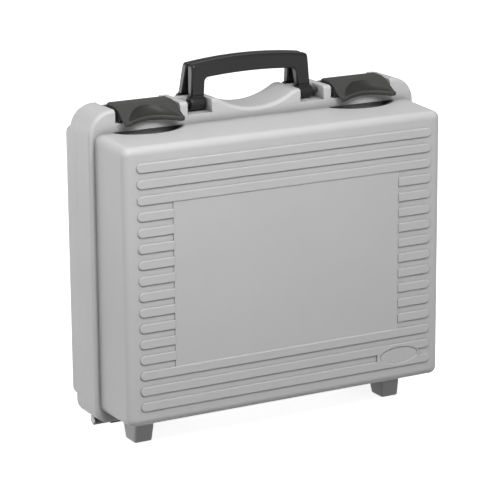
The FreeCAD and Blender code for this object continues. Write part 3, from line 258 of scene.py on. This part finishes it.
def mouldedPlastic(name, look, base):
    made, tree = newMaterial(name + "Plastic")
    place = node(tree, "ShaderNodeTexCoord").outputs["Object"]
    clouds = node(tree, "ShaderNodeTexNoise", {
        "Vector": place, "Scale": base["cloudScale"], "Detail": base["cloudDetail"],
        "Roughness": base["cloudRough"]})
    drift = look["drift"]
    colour = twoTone(tree, clouds.outputs["Fac"], look["colour"], (1 - drift, 1 + drift),
                     noiseSpan)
    bevel = node(tree, "ShaderNodeBevel", {"Radius": look["edge"]}, samples=base["bevelSamples"])
    flat = node(tree, "ShaderNodeNewGeometry").outputs["Normal"]
    align = node(tree, "ShaderNodeVectorMath", {0: bevel.outputs["Normal"], 1: flat},
                 operation="DOT_PRODUCT")
    # edges are lightened partly as wear and partly as a painted highlight where edges catch the
    # light
    worn = node(tree, "ShaderNodeMapRange", {
        "Value": align.outputs["Value"], "From Min": base["wearAndHighlightTurn"][0],
        "From Max": base["wearAndHighlightTurn"][1]})
    scuff = node(tree, "ShaderNodeTexNoise", {
        "Vector": place, "Scale": base["scuffScale"], "Detail": base["scuffDetail"]})
    amount = node(tree, "ShaderNodeMath", {0: worn.outputs["Result"], 1: scuff.outputs["Fac"]},
                  operation="MULTIPLY")
    wornAndLitEdges = node(tree, "ShaderNodeMix", {
        "Factor": amount.outputs["Value"], "A": colour,
        "B": shade(look["colour"], look["edgeWearAndHighlight"])}, data_type="RGBA")
    # painted shade in the piece's own hollows, grooves and pockets, taken from occlusion
    nook = node(tree, "ShaderNodeAmbientOcclusion", {"Distance": look["hollow"]},
                samples=base["nookSamples"], only_local=True)
    paintedShade = node(tree, "ShaderNodeMapRange", {  # painted shade: darker where the piece's own hollows and grooves hold shade
        "Value": nook.outputs["AO"], "From Min": look["nook"][0], "From Max": look["nook"][1],
        "To Min": look["deepestShade"], "To Max": 1})
    shadedColour = node(tree, "ShaderNodeMix", {
        "Factor": 1, "A": wornAndLitEdges.outputs["Result"], "B": paintedShade.outputs["Result"]},
        data_type="RGBA", blend_type="MULTIPLY")
    grain = node(tree, "ShaderNodeTexVoronoi", {
        "Vector": place, "Scale": 1 / look["grain"], "Randomness": 1})
    bump = node(tree, "ShaderNodeBump", {
        "Height": grain.outputs["Distance"], "Distance": look["depth"],
        "Strength": base["grainStrength"], "Normal": bevel.outputs["Normal"]})
    polish = node(tree, "ShaderNodeTexNoise", {
        "Vector": place, "Scale": base["polishScale"], "Detail": base["polishDetail"]})
    span = (-base["polishDrift"], base["polishDrift"])
    shader = node(tree, "ShaderNodeBsdfPrincipled", {
        "Base Color": shadedColour.outputs["Result"],
        "Roughness": roughness(tree, polish.outputs["Fac"], look["rough"], span),
        "Normal": bump.outputs["Normal"], "IOR": base["ior"],
        "Specular IOR Level": look["shine"]})
    node(tree, "ShaderNodeOutputMaterial", {"Surface": shader.outputs["BSDF"]})
    return made


def drawnMetal(name, look, base):
    made, tree = newMaterial(name + "Metal")
    place = node(tree, "ShaderNodeTexCoord").outputs["Object"]
    stretch = node(tree, "ShaderNodeMapping", {"Vector": place, "Scale": base["stretch"]})
    streaks = node(tree, "ShaderNodeTexNoise", {
        "Vector": stretch.outputs["Vector"], "Scale": look["streak"],
        "Detail": base["detail"]}).outputs["Fac"]
    shader = node(tree, "ShaderNodeBsdfPrincipled", {
        "Base Color": twoTone(tree, streaks, look["colour"], base["tones"]), "Metallic": 1,
        "Roughness": roughness(tree, streaks, look["rough"], base["roughSpan"])})
    node(tree, "ShaderNodeOutputMaterial", {"Surface": shader.outputs["BSDF"]})
    return made


def blackCoat(name, look, base):
    made, tree = newMaterial(name + "Coat")
    place = node(tree, "ShaderNodeTexCoord").outputs["Object"]
    peel = node(tree, "ShaderNodeTexNoise", {
        "Vector": place, "Scale": base["peelScale"], "Detail": base["peelDetail"]})
    bump = node(tree, "ShaderNodeBump", {
        "Height": peel.outputs["Fac"], "Distance": base["peelDepth"],
        "Strength": base["peelStrength"]})
    worn = node(tree, "ShaderNodeTexNoise", {
        "Vector": place, "Scale": base["wearScale"],
        "Detail": base["wearDetail"]}).outputs["Fac"]
    shader = node(tree, "ShaderNodeBsdfPrincipled", {
        "Base Color": twoTone(tree, worn, look["colour"], base["tones"]),
        "Roughness": roughness(tree, worn, look["rough"], base["roughSpan"], (0, 1)),
        "Normal": bump.outputs["Normal"]})
    node(tree, "ShaderNodeOutputMaterial", {"Surface": shader.outputs["BSDF"]})
    return made


materials = {name: mouldedPlastic(name, look, plasticBase) for name, look in finishes.items()}
materials.update({name: drawnMetal(name, look, metalBase) for name, look in metals.items()})
materials.update({name: blackCoat(name, look, coatBase) for name, look in coats.items()})
slotOf = {part["node"]: part["material_slot"] for part in frame["record"]["subparts"]}
bodyOf = {name: body for body, names in frame["record"]["behaviour"]["bodies"].items()
          for name in names}
for name, item in nodes.items():
    dark = slotOf[name] == "pin" and not name.startswith("hinge")
    for slot in item.material_slots:
        slot.material = materials["darkPin" if dark else slotOf[name]]
print("finishes on", len(nodes), "nodes")

weldDistance = 1e-7  # points of a piece nearer than this become one


def runningLengths(spots):
    lengths = [0]
    for one, two in zip(spots, spots[1:]):
        lengths.append(lengths[-1] + (two - one).length)
    return lengths


def smoothPath(spots, count, steps=12):
    # even points on a smooth curve through the spots
    ends = [spots[0] * 2 - spots[1]] + list(spots) + [spots[-1] * 2 - spots[-2]]
    fine = []
    for before, start, end, after in zip(ends, ends[1:], ends[2:], ends[3:]):
        for step in range(steps):
            t = step / steps
            fine.append(0.5 * (2 * start + (end - before) * t
                               + (2 * before - 5 * start + 4 * end - after) * t ** 2
                               + (3 * start - 3 * end + after - before) * t ** 3))
    fine.append(spots[-1].copy())
    lengths = runningLengths(fine)
    path, place = [], 0
    for step in range(count + 1):
        want = lengths[-1] * step / count
        while place < len(fine) - 2 and lengths[place + 1] < want:
            place += 1
        span = lengths[place + 1] - lengths[place] or 1
        path.append(fine[place].lerp(fine[place + 1], min(1, (want - lengths[place]) / span)))
    return path


def mix(one, two, share):
    return one + (two - one) * share


def ease(low, high, value):
    share = max(0, min(1, (value - low) / (high - low)))
    return share * share * (3 - 2 * share)


def piece(name, verts, faces, cadNode, sharp=40, replaces=True):
    # mesh in the finish of a CAD node, on the body that carries that node
    mesh = bpy.data.meshes.new(name)
    mesh.from_pydata([tuple(vert) for vert in verts], [], faces)
    shape = bmesh.new()
    shape.from_mesh(mesh)
    bmesh.ops.remove_doubles(shape, verts=shape.verts, dist=weldDistance)
    bmesh.ops.recalc_face_normals(shape, faces=shape.faces)
    shape.to_mesh(mesh)
    shape.free()
    mesh.shade_smooth()
    mesh.set_sharp_from_angle(angle=math.radians(sharp))
    made = bpy.data.objects.new(name, mesh)
    scene.collection.objects.link(made)
    mesh.materials.append(materials[slotOf[cadNode]])
    if replaces:
        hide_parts(cadNode)
    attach(made, bodyOf[cadNode])
    return made


def roundEdges(made, width, segments=3, angle=35):
    soft = made.modifiers.new("soft", "BEVEL")
    soft.width = width
    soft.segments = segments
    soft.limit_method = "ANGLE"
    soft.angle_limit = math.radians(angle)
    soft.harden_normals = True


def skin(rows, count, wrap=False):
    # four-sided faces between rows of as many points each
    faces = []
    for row in range(rows if wrap else rows - 1):
        ahead = (row + 1) % rows
        for place in range(count):
            after = (place + 1) % count
            faces.append((row * count + place, row * count + after,
                          ahead * count + after, ahead * count + place))
    return faces


def caps(rows, count):
    return [tuple(range(count)), tuple(range((rows - 1) * count, rows * count))]


def loft(rings):
    # skin over rings of as many points each, with both ends closed
    rows, count = len(rings), len(rings[0])
    return [spot for ring in rings for spot in ring], skin(rows, count) + caps(rows, count)


def turned(profile, centre, axis, count=40):
    # profile of (along, radius) about an axis through centre
    lean = {"X": Vector((1, 0, 0)), "Y": Vector((0, 1, 0)), "Z": Vector((0, 0, 1))}
    across, up = (lean[name] for name in {"X": "YZ", "Z": "XY"}[axis])
    verts = []
    for along, radius in profile:
        for step in range(count):
            turn = 2 * math.pi * step / count
            verts.append(centre + lean[axis] * along + across * radius * math.cos(turn)
                         + up * radius * math.sin(turn))
    faces = skin(len(profile), count)
    if profile[0] != profile[-1]:
        faces += caps(len(profile), count)
    return verts, faces


def slab(outline, low, high):
    # plate across X between low and high, with an outline of (y, z)
    return loft([[Vector((x, y, z)) for y, z in outline] for x in (low, high)])


def join(parts):
    verts, faces = [], []
    for partVerts, partFaces in parts:
        base = len(verts)
        verts += partVerts
        faces += [tuple(base + index for index in face) for face in partFaces]
    return verts, faces


# latches: lever cover with a thumb scoop, barrel, skirts and claw
latchShape = {  # forward of the pin and above it, millimetres
    "back": [(0, 4.0), (4, 3.95), (7.6, 3.9), (9.2, 4.3), (9.8, 5.4), (9.95, 6.9),
             (10.35, 7.8), (11.2, 8.3)],
    "cover": [(12.2, 8.5), (18, 8.45), (23.4, 8.1), (25.4, 7.65), (29.4, 6.35), (33.6, 4.4),
              (40, 0.35), (46.4, -3.0), (49, -4.4)],
    "lipEnd": (46.7, -3.2),
    "lipMiddle": (38.8, -1.3),
    "lipFront": [(0.7, -0.2), (1.15, -0.65), (1.3, -1.3), (1.1, -2.4), (0.7, -3.5),
                 (0.1, -4.2), (-0.7, -4.2)],
    "underEnd": [(44.3, -4.6), (38.2, -2.3), (32, 1.6), (24, 5.3), (14, 6.0)],
    "underMiddle": [(36.6, -3.7), (33, -1.9), (28.4, 2.3), (22, 5.2), (14, 6.0)],
    "inside": [(12.8, 5.6), (12.1, 4.4), (11.5, 2.9), (10.4, 2.0), (8, 1.6), (3, 1.6), (0, 1.6)],
    "scoopTop": 17.2,     # along the cover, from its back to the top of the scoop
    "scoopGrow": 18.6,    # further to the scoop's corners
    "scoopReach": 0.87,   # share of half the width that the scoop takes
    "scoopPower": 2.2,
    "scoopFade": (-0.1, 0.02),  # where its side walls lie, counted from that reach
    "scoopMargin": 1.2,   # least way between the scoop's top edge and the lip
    "lipReach": 0.83,
    "sag": 3.0,
    "sagPower": 0.6,
    "sagFill": 1.3,       # how soon the scoop is at its full depth from its ends inward
    "coverPoints": 160,   # fine points along the cover
    "backSteps": 18,      # steps from the back to the scoop, down the scoop and under the lip
    "scoopSteps": 16,
    "underSteps": 18,
    "stations": 56,
    "evenness": 0.75,     # how evenly the stations lie, 1 is even
    "crease": 17,         # degrees
    "softAngle": 55,
    "barrelRadius": 4.0,
    "boreRadius": 1.85,
    "endRound": 0.55,
    "endFall": 1.0,        # the cover's ends drop by this
    "fallSpan": (0.93, 1.02),   # shares of half the width over which they drop
    "fallHeights": (6, 8.5),    # heights over which the back joins in
    "skirt": [(33.1, -5.8), (11.8, -5.8), (1.2, -2.6), (0.5, 1.8), (12, 5.9), (23.8, 5.3),
              (31.4, 1.6)],
    "skirtSheet": 2.0,
    "skirtInset": 0.35,
    "skirtRound": 0.4,
    "brace": [(33.1, -5.8), (31.1, -5.8), (31.1, 1.2), (32.4, 0.6), (33.1, 0.2)],
    "braceGap": 14,
    "claw": [(22.9, 5.6), (25.9, 4.8), (26.1, -1.6), (25.3, -3.1), (23.7, -3.3), (22.9, -2.4)],
    "clawWidth": 20,
}


def coverSection(look, station):
    # outline of the cover at one share of its half width
    fine = smoothPath([Vector(spot) for spot in look["cover"]], look["coverPoints"])
    lengths = runningLengths(fine)

    def onCover(along):
        for place in range(len(fine) - 1):
            if lengths[place + 1] >= along:
                share = (along - lengths[place]) / (lengths[place + 1] - lengths[place])
                return fine[place].lerp(fine[place + 1], share)
        return fine[-1].copy()

    out = abs(station)
    arch = max(0, 1 - (out / look["lipReach"]) ** 2)
    scooped = 1 - ease(*(look["scoopReach"] + part for part in look["scoopFade"]), out)
    lipEnd, lipMiddle = Vector(look["lipEnd"]), Vector(look["lipMiddle"])
    lip = lipEnd.lerp(lipMiddle, arch)
    reach = lengths[min(range(len(fine)), key=lambda place: (fine[place] - lipEnd).length)]
    grown = (min(out, look["scoopReach"]) / look["scoopReach"]) ** look["scoopPower"]
    edge = min(look["scoopTop"] + look["scoopGrow"] * grown, reach - look["scoopMargin"])
    fall = Vector((0, look["endFall"] * ease(*look["fallSpan"], out)))
    outline = [Vector(spot) - fall * ease(*look["fallHeights"], spot[1]) for spot in look["back"]]
    steps = look["backSteps"]
    outline += [onCover(edge * step / steps) - fall for step in range(steps + 1)]
    top = onCover(edge)
    steps = look["scoopSteps"]
    for step in range(1, steps + 1):
        share = step / steps
        bare = onCover(mix(edge, reach, share)) + (lip - lipEnd) * share
        depth = look["sag"] * (4 * share * (1 - share)) ** look["sagPower"]
        hollow = top.lerp(lip, share) - Vector((0, depth * min(1, arch * look["sagFill"])))
        outline.append(bare.lerp(hollow, scooped) - fall * (1 - share))
    outline += [lip + Vector(spot) for spot in look["lipFront"]]
    under = [Vector(one).lerp(Vector(two), arch)
             for one, two in zip(look["underEnd"], look["underMiddle"])]
    outline += smoothPath(under, look["underSteps"])
    return outline + [Vector(spot) for spot in look["inside"]]


def makeLatch(side, look):
    cad = "latch_" + side
    low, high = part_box(cad)
    pinLow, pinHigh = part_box("latch_pin_" + side)
    pin = (pinLow + pinHigh) / 2
    half = (high.x - low.x) / 2
    rings = []
    count = look["stations"]
    for step in range(count + 1):
        station = math.sin(math.pi * (step / count - 0.5))  # closer together at the ends
        station = mix(station, 2 * step / count - 1, look["evenness"])
        rings.append([Vector((pin.x + half * station, pin.y - spot.x * mm, pin.z + spot.y * mm))
                      for spot in coverSection(look, station)])
    cover = piece(f"latchCover{side.title()}", *loft(rings), cad, sharp=look["crease"])
    # faces in the thumb scoop take the darker material, which is painted shade
    cover.data.materials.append(materials["thumb"])
    width = len(rings[0])
    first = len(look["back"]) + look["backSteps"]  # the scoop starts at this row
    for face in cover.data.polygons:
        rows = [index % width for index in face.vertices]
        inScoop = min(rows) >= first and max(rows) <= first + look["scoopSteps"]
        if inScoop and abs(face.center.x - pin.x) < look["scoopReach"] * half:
            face.material_index = 1
    bore, radius, soft = (look[key] * mm for key in ("boreRadius", "barrelRadius", "endRound"))
    roundEdges(cover, soft, angle=look["softAngle"])

    ring = [(-half, bore), (-half, radius - soft), (soft - half, radius), (half - soft, radius),
            (half, radius - soft), (half, bore), (-half, bore)]
    piece(f"latchBarrel{side.title()}", *turned(ring, pin, "X"), cad)

    sheet, inset = look["skirtSheet"] * mm, look["skirtInset"] * mm
    outlines = {key: [(pin.y - forward * mm, pin.z + up * mm) for forward, up in look[key]]
                for key in ("skirt", "brace", "claw")}
    gap, wide = look["braceGap"] * mm, look["clawWidth"] * mm / 2
    inner = join([
        slab(outlines["skirt"], low.x + inset, low.x + inset + sheet),
        slab(outlines["skirt"], high.x - inset - sheet, high.x - inset),
        slab(outlines["brace"], low.x + inset, pin.x - gap),
        slab(outlines["brace"], pin.x + gap, high.x - inset),
        slab(outlines["claw"], pin.x - wide, pin.x + wide),
    ])
    skirts = piece(f"latchSkirts{side.title()}", *inner, cad)
    roundEdges(skirts, look["skirtRound"] * mm, segments=2)


for side in sides:
    makeLatch(side, latchShape)
print("latches made")

# handle halves: moulded sleeve with a soft top, and a barrel at each leg
handleShape = {  # millimetres
    "legWidth": 12.6,
    "taper": 1.8,
    "gripHeight": 12.2,
    "arch": 4.2,
    "outerCorner": 3.2,
    "innerCorner": 4.2,
    "knuckleRadius": 6.0,
    "knuckleWidth": 15.7,
    "knuckleRound": 1.7,
    "legFoot": 6.1,        # pin to the foot of the sleeve
    "legDepth": 7.4,
    "edge": 1.6,
    "topEdge": 3.0,        # the outward edges over the grip are rounder
    "frontDepth": 9.3,
    "backDepth": 8.4,
    "frontLean": 1.7,
    "gap": 0.5,
    "boreRadius": 2.05,
    "neckInset": 1.0,      # the neck between knuckle and sleeve lies inside the leg's sides
    "neckTrim": 0.9,       # and inside its front and back
    "neckRise": 0.8,
    "near": 0.1,           # points this near to a face of the sleeve lie on it
}
handleShares = {
    "outerArch": 1.2,      # corner radii left out at the ends of the arches
    "innerArch": 1.15,
    "shoulder": 1.5,       # corner radii below the arch where the broad edge starts
    "along": 0.3,          # edges that lean back less than this run along the handle
    "neckFoot": 0.5,       # between pin and sleeve
}
# how many parts each curve has
handleSteps = {"outerArch": 26, "innerArch": 22, "outerCorner": 5, "innerCorner": 6, "edge": 4,
               "knuckle": 6, "barrel": 48}


def cornerArc(before, corner, after, radius, steps):
    # points that round the corner of an outline
    inward, outward = (before - corner).normalized(), (after - corner).normalized()
    half = inward.angle(outward) / 2
    centre = corner + (inward + outward).normalized() * radius / math.sin(half)
    start = corner + inward * radius / math.tan(half)
    end = corner + outward * radius / math.tan(half)
    spokes = [(start - centre).lerp(end - centre, step / steps) for step in range(steps + 1)]
    return [centre + spoke.normalized() * radius for spoke in spokes]


def archLine(reach, height, rise, steps, skip):
    # points of an arch from -reach to reach, without its ends
    radius = (reach ** 2 + rise ** 2) / (2 * rise)
    spots = []
    for step in range(steps + 1):
        x = mix(-reach + skip, reach - skip, step / steps)
        spots.append(Vector((x, height + rise - radius + math.sqrt(radius ** 2 - x ** 2))))
    return spots


def sleeveOutline(size, pinZ, topZ, outer):
    # front view of the sleeve, from the left foot's outer corner over the top
    shoulder = topZ - size["arch"]
    soffit = shoulder - size["gripHeight"]
    foot = pinZ + size["legFoot"]
    outerTop, inner = outer - size["taper"], outer - size["legWidth"]
    innerTop = inner - size["taper"]
    outerFoot = outer - size["taper"] / (shoulder - pinZ) * size["legFoot"]
    innerFoot = inner - size["taper"] / (soffit - pinZ) * size["legFoot"]
    outerLeft, outerRight = Vector((-outerFoot, foot)), Vector((outerFoot, foot))
    innerLeft, innerRight = Vector((-innerFoot, foot)), Vector((innerFoot, foot))
    outerRound = (size["outerCorner"], handleSteps["outerCorner"])
    innerRound = (size["innerCorner"], handleSteps["innerCorner"])
    upper = archLine(outerTop, shoulder, size["arch"], handleSteps["outerArch"],
                     size["outerCorner"] * handleShares["outerArch"])
    lower = archLine(innerTop, soffit, size["arch"] / 2, handleSteps["innerArch"],
                     size["innerCorner"] * handleShares["innerArch"])
    outline = [outerLeft]
    outline += cornerArc(outerLeft, Vector((-outerTop, shoulder)), upper[0], *outerRound)
    outline += upper[1:-1]
    outline += cornerArc(upper[-1], Vector((outerTop, shoulder)), outerRight, *outerRound)
    outline += [outerRight, innerRight]
    outline += cornerArc(innerRight, Vector((innerTop, soffit)), lower[-1], *innerRound)
    outline += lower[-2:0:-1]
    outline += cornerArc(lower[0], Vector((-innerTop, soffit)), innerLeft, *innerRound)
    return outline + [innerLeft]


def makeHandle(end, look):
    cad = end + "_handle"
    size = {key: length * mm for key, length in look.items()}
    low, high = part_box(cad)
    pinLow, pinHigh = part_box(cad + "_pin_left")
    pin = (pinLow + pinHigh) / 2
    outer = high.x - (look["knuckleWidth"] - look["legWidth"]) / 2 * mm
    frontPin = sum(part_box("front_handle_pin_left"), Vector()) / 2
    seam = frontPin.y - size["legDepth"] / 2 + size["frontLean"] + size["frontDepth"]
    lowFront, lowBack = pin.y - size["legDepth"] / 2, pin.y + size["legDepth"] / 2
    highFront, highBack = lowFront + size["frontLean"], seam
    if end == "back":
        highFront = seam + size["gap"]
        highBack = highFront + size["backDepth"]
    crown = high.z - pin.z
    lines = {"front": (lowFront, highFront), "back": (lowBack, highBack)}

    def depthAt(line, z):
        return mix(*lines[line], (z - pin.z) / crown)

    outline = sleeveOutline(size, pin.z, high.z, outer)
    rings = [[Vector((spot.x, depthAt(line, spot.y), spot.y)) for spot in outline]
             for line in lines]
    sleeve = piece(f"{end}Sleeve", *loft(rings), cad)
    mesh = sleeve.data
    weights = mesh.attributes.new("bevel_weight_edge", "FLOAT", "EDGE")
    shoulder = high.z - (look["arch"] + look["outerCorner"] * handleShares["shoulder"]) * mm
    for edge in mesh.edges:
        one, two = (mesh.vertices[index].co for index in edge.vertices)
        if abs(one.y - two.y) < handleShares["along"] * (one - two).length:
            outward = abs(one.y - depthAt(end, one.z)) < size["near"]
            broad = outward and min(one.z, two.z) > shoulder
            weights.data[edge.index].value = 1 if broad else look["edge"] / look["topEdge"]
    soft = sleeve.modifiers.new("soft", "BEVEL")
    soft.width = size["topEdge"]
    soft.segments = handleSteps["edge"]
    soft.limit_method = "WEIGHT"
    soft.harden_normals = True

    radius, half, bend = size["knuckleRadius"], size["knuckleWidth"] / 2, size["knuckleRound"]
    ring = [(-half, size["boreRadius"])]
    for step in range(handleSteps["knuckle"] + 1):
        turn = math.pi / 2 * step / handleSteps["knuckle"]
        ring.append((-half + bend * (1 - math.cos(turn)), radius - bend * (1 - math.sin(turn))))
    ring += [(-along, radial) for along, radial in reversed(ring)]
    ring.append(ring[0])
    wide = (look["legWidth"] / 2 - look["neckInset"]) * mm
    depth = size["legDepth"] / 2 - size["neckTrim"]
    bottom = pin.z + size["legFoot"] * handleShares["neckFoot"]
    top = pin.z + size["legFoot"] + size["neckRise"]
    neck = [(pin.y - depth, bottom), (pin.y + depth, bottom), (pin.y + depth, top),
            (pin.y - depth, top)]
    parts = []
    for sign in sides.values():
        middle = Vector((sign * (outer - look["legWidth"] / 2 * mm), pin.y, pin.z))
        parts.append(turned(ring, middle, "X", handleSteps["barrel"]))
        parts.append(slab(neck, middle.x - wide, middle.x + wide))
    piece(f"{end}Knuckles", *join(parts), cad)


for end in ("front", "back"):
    makeHandle(end, handleShape)
print("handle halves made")

# feet: blocks that taper towards the floor, more at the back, with soft edges
footShape = {
    "outer": 1.2,      # wider than its solid, on the outer side
    "outerFlare": 0.3,
    "innerFlare": 1.2,
    "frontSlope": {"front": 2.0, "back": 3.0},
    "backSlope": {"front": 4.0, "back": 3.0},
    "deeper": {"front": 0.5, "back": 0},
    "shift": {"left": 0, "right": -3.4},
    "knee": 14.0,      # the taper ends at this height
    "corner": 2.0,
    "sole": 1.5,       # rounding round the sole
    "neck": 2.6,       # part let into the shell
    "cornerShrink": 0.6,  # share of the sole's rounding that its corners lose
    "cornerSteps": 6,
    "soleSteps": 5,
    "wallSteps": 4,
}


def roundedOutline(left, right, front, back, radius, steps):
    # rectangle with round corners, as (x, y)
    near, far = front + radius, back - radius
    centres = [(right - radius, far), (left + radius, far), (left + radius, near),
               (right - radius, near)]
    spots = []
    for quarter, (x, y) in enumerate(centres):
        for step in range(steps + 1):
            turn = math.pi / 2 * (quarter + step / steps)
            spots.append((x + radius * math.cos(turn), y + radius * math.sin(turn)))
    return spots


def makeFoot(end, side, look):
    cad = f"{end}_foot_{side}"
    low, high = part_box(cad)
    top = high.z - look["neck"] * mm
    front, back, deeper = (look[key][end] * mm for key in ("frontSlope", "backSlope", "deeper"))
    corner, sole, knee = (look[key] * mm for key in ("corner", "sole", "knee"))
    outer, outerFlare, innerFlare = (look[key] * mm
                                     for key in ("outer", "outerFlare", "innerFlare"))
    left, right = low.x - outer, high.x
    leftFlare, rightFlare = outerFlare, innerFlare
    if side == "right":
        left, right = low.x, high.x + outer
        leftFlare, rightFlare = innerFlare, outerFlare
    if end == "front":
        left, right = (edge + look["shift"][side] * mm for edge in (left, right))
    levels = []  # height above the floor, and how far in from the walls
    for step in range(look["soleSteps"] + 1):
        turn = math.pi / 2 * step / look["soleSteps"]
        levels.append((sole * (1 - math.cos(turn)), sole * (1 - math.sin(turn))))
    for step in range(look["wallSteps"]):
        levels.append((mix(sole, knee, (step + 1) / look["wallSteps"]), 0))
    levels.append((top, 0))
    rings = []
    for level, inset in levels:
        narrow = max(0, 1 - level / knee)
        outline = roundedOutline(
            left + leftFlare * narrow + inset, right - rightFlare * narrow - inset,
            low.y + front * narrow + inset, high.y + deeper - back * narrow - inset,
            corner - inset * look["cornerShrink"], look["cornerSteps"])
        rings.append([Vector((x, y, low.z + level)) for x, y in outline])
    piece(f"{end}Foot{side.title()}", *loft(rings), cad)


for side in sides:
    for end in ("front", "back"):
        makeFoot(end, side, footShape)
print("feet made")

# hinge pins with domed heads, rivets and cross recessed screws
smallShape = {
    "pinHead": 3.9,        # radius of the head on a hinge pin
    "pinRadius": 1.7,
    "pinDome": 1.45,
    "rivetHead": 3.0,
    "rivetDome": 1.2,
    "rivetShank": 1.5,
    "rivetSpacing": 30,
    "screwHead": 2.3,
    "screwDome": 1.1,
    "screwShank": 1.5,
    "screwSpacing": 15,
    "crossWidth": 0.62,
    "crossReach": 1.35,
    "crossDepth": 0.75,
}
smallSteps = {"dome": 9, "rivet": 32, "screwRings": 22, "screw": 64}
crownShare = 0.03      # flat middle of a domed head, and of a screw head
screwFlat = 0.02
screwPower = 4         # how square the screw head's rim is


def dome(reach, height):
    # (height, radius) from the crown of a rounded head to its rim
    steps = smallSteps["dome"]
    turns = [math.pi / 2 * mix(crownShare, 1, step / steps) for step in range(steps + 1)]
    return [(height * (1 - math.cos(turn)), reach * math.sin(turn)) for turn in turns]


def pairs(outer, spacing):
    # two places on each side of the middle
    return [sign * x for sign in sides.values() for x in (outer, outer - spacing)]


def makeHingePin(side, look):
    cad = "hinge_pin_" + side
    low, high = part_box(cad)
    half = (high.x - low.x) / 2
    head = [(along - half, radius)
            for along, radius in dome(look["pinHead"] * mm, look["pinDome"] * mm)]
    ring = head + [(head[-1][0], look["pinRadius"] * mm)]
    ring += [(-along, radius) for along, radius in reversed(ring)]
    piece(f"hingePin{side.title()}", *turned(ring, (low + high) / 2, "X"), cad)


def makeRivets(end, look):
    cad = end + "_hinge_rivets"
    low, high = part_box(cad)
    reach, shank = look["rivetHead"] * mm, look["rivetShank"] * mm
    ring = dome(reach, look["rivetDome"] * mm)
    ring += [(ring[-1][0], shank), (high.z - low.z, shank)]
    y = (low.y + high.y) / 2
    parts = [turned(ring, Vector((x, y, low.z)), "Z", smallSteps["rivet"])
             for x in pairs(high.x - reach, look["rivetSpacing"] * mm)]
    piece(end + "Rivets", *join(parts), cad)


def crossScrew(centre, bottom, look):
    # pan head screw that points down, with a cross sunk into its crown
    reach, height = look["screwHead"] * mm, look["screwDome"] * mm
    width, arm, depth = (look[key] * mm for key in ("crossWidth", "crossReach", "crossDepth"))
    rings, count = smallSteps["screwRings"], smallSteps["screw"]
    turns = [2 * math.pi * step / count for step in range(count)]
    verts = []
    for ring in range(rings + 1):
        radius = reach * max(screwFlat, ring / rings)
        bulge = math.sqrt(max(0, 1 - (radius / reach) ** screwPower))
        level = centre.z - height * (1 - bulge)
        for turn in turns:
            x, y = radius * math.cos(turn), radius * math.sin(turn)
            narrow, wide = sorted((abs(x), abs(y)))
            sunk = depth if narrow < width / 2 and wide < arm else 0
            verts.append(Vector((centre.x + x, centre.y + y, level - sunk)))
    shank = look["screwShank"] * mm
    for level in (centre.z - height, bottom):
        verts += [Vector((centre.x + shank * math.cos(turn), centre.y + shank * math.sin(turn),
                          level)) for turn in turns]
    rows = rings + 3  # the head's rings and both ends of the shank
    return verts, skin(rows, count) + caps(rows, count)


def makeScrews(look):
    low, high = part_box("keeper_screws")
    y = (low.y + high.y) / 2
    places = pairs(high.x - look["screwHead"] * mm, look["screwSpacing"] * mm)
    parts = [crossScrew(Vector((x, y, high.z)), low.z, look) for x in places]
    piece("keeperScrews", *join(parts), "keeper_screws")


for side in sides:
    makeHingePin(side, smallShape)
for end in ("front", "back"):
    makeRivets(end, smallShape)
makeScrews(smallShape)
print("pins, rivets and screws made")

# sloped lip round the bare oval badge place
badgeShape = {
    "centre": (113.9, 50.7),   # x and z on the front face
    "half": (20.5, 8.2),
    "depth": 0.5,
    "slope": 1.3,
    "section": [(0, 0), (0.25, 0.12), (0.75, 0.88), (1, 1), (0, 1)],  # of slope and depth
    "crease": 50,
    "steps": 120,
}


def makeBadgeLip(look):
    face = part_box("front_shell")[0].y
    depth, slope, count = look["depth"] * mm, look["slope"] * mm, look["steps"]
    verts = []
    for step in range(count):
        turn = 2 * math.pi * step / count
        for inward, sunk in look["section"]:
            wide, tall = (half * mm - slope * inward for half in look["half"])
            verts.append(Vector((look["centre"][0] * mm + wide * math.cos(turn),
                                 face + depth * sunk,
                                 look["centre"][1] * mm + tall * math.sin(turn))))
    faces = skin(count, len(look["section"]), wrap=True)
    piece("badgeLip", verts, faces, "front_shell", sharp=look["crease"], replaces=False)


makeBadgeLip(badgeShape)
print("badge place finished")
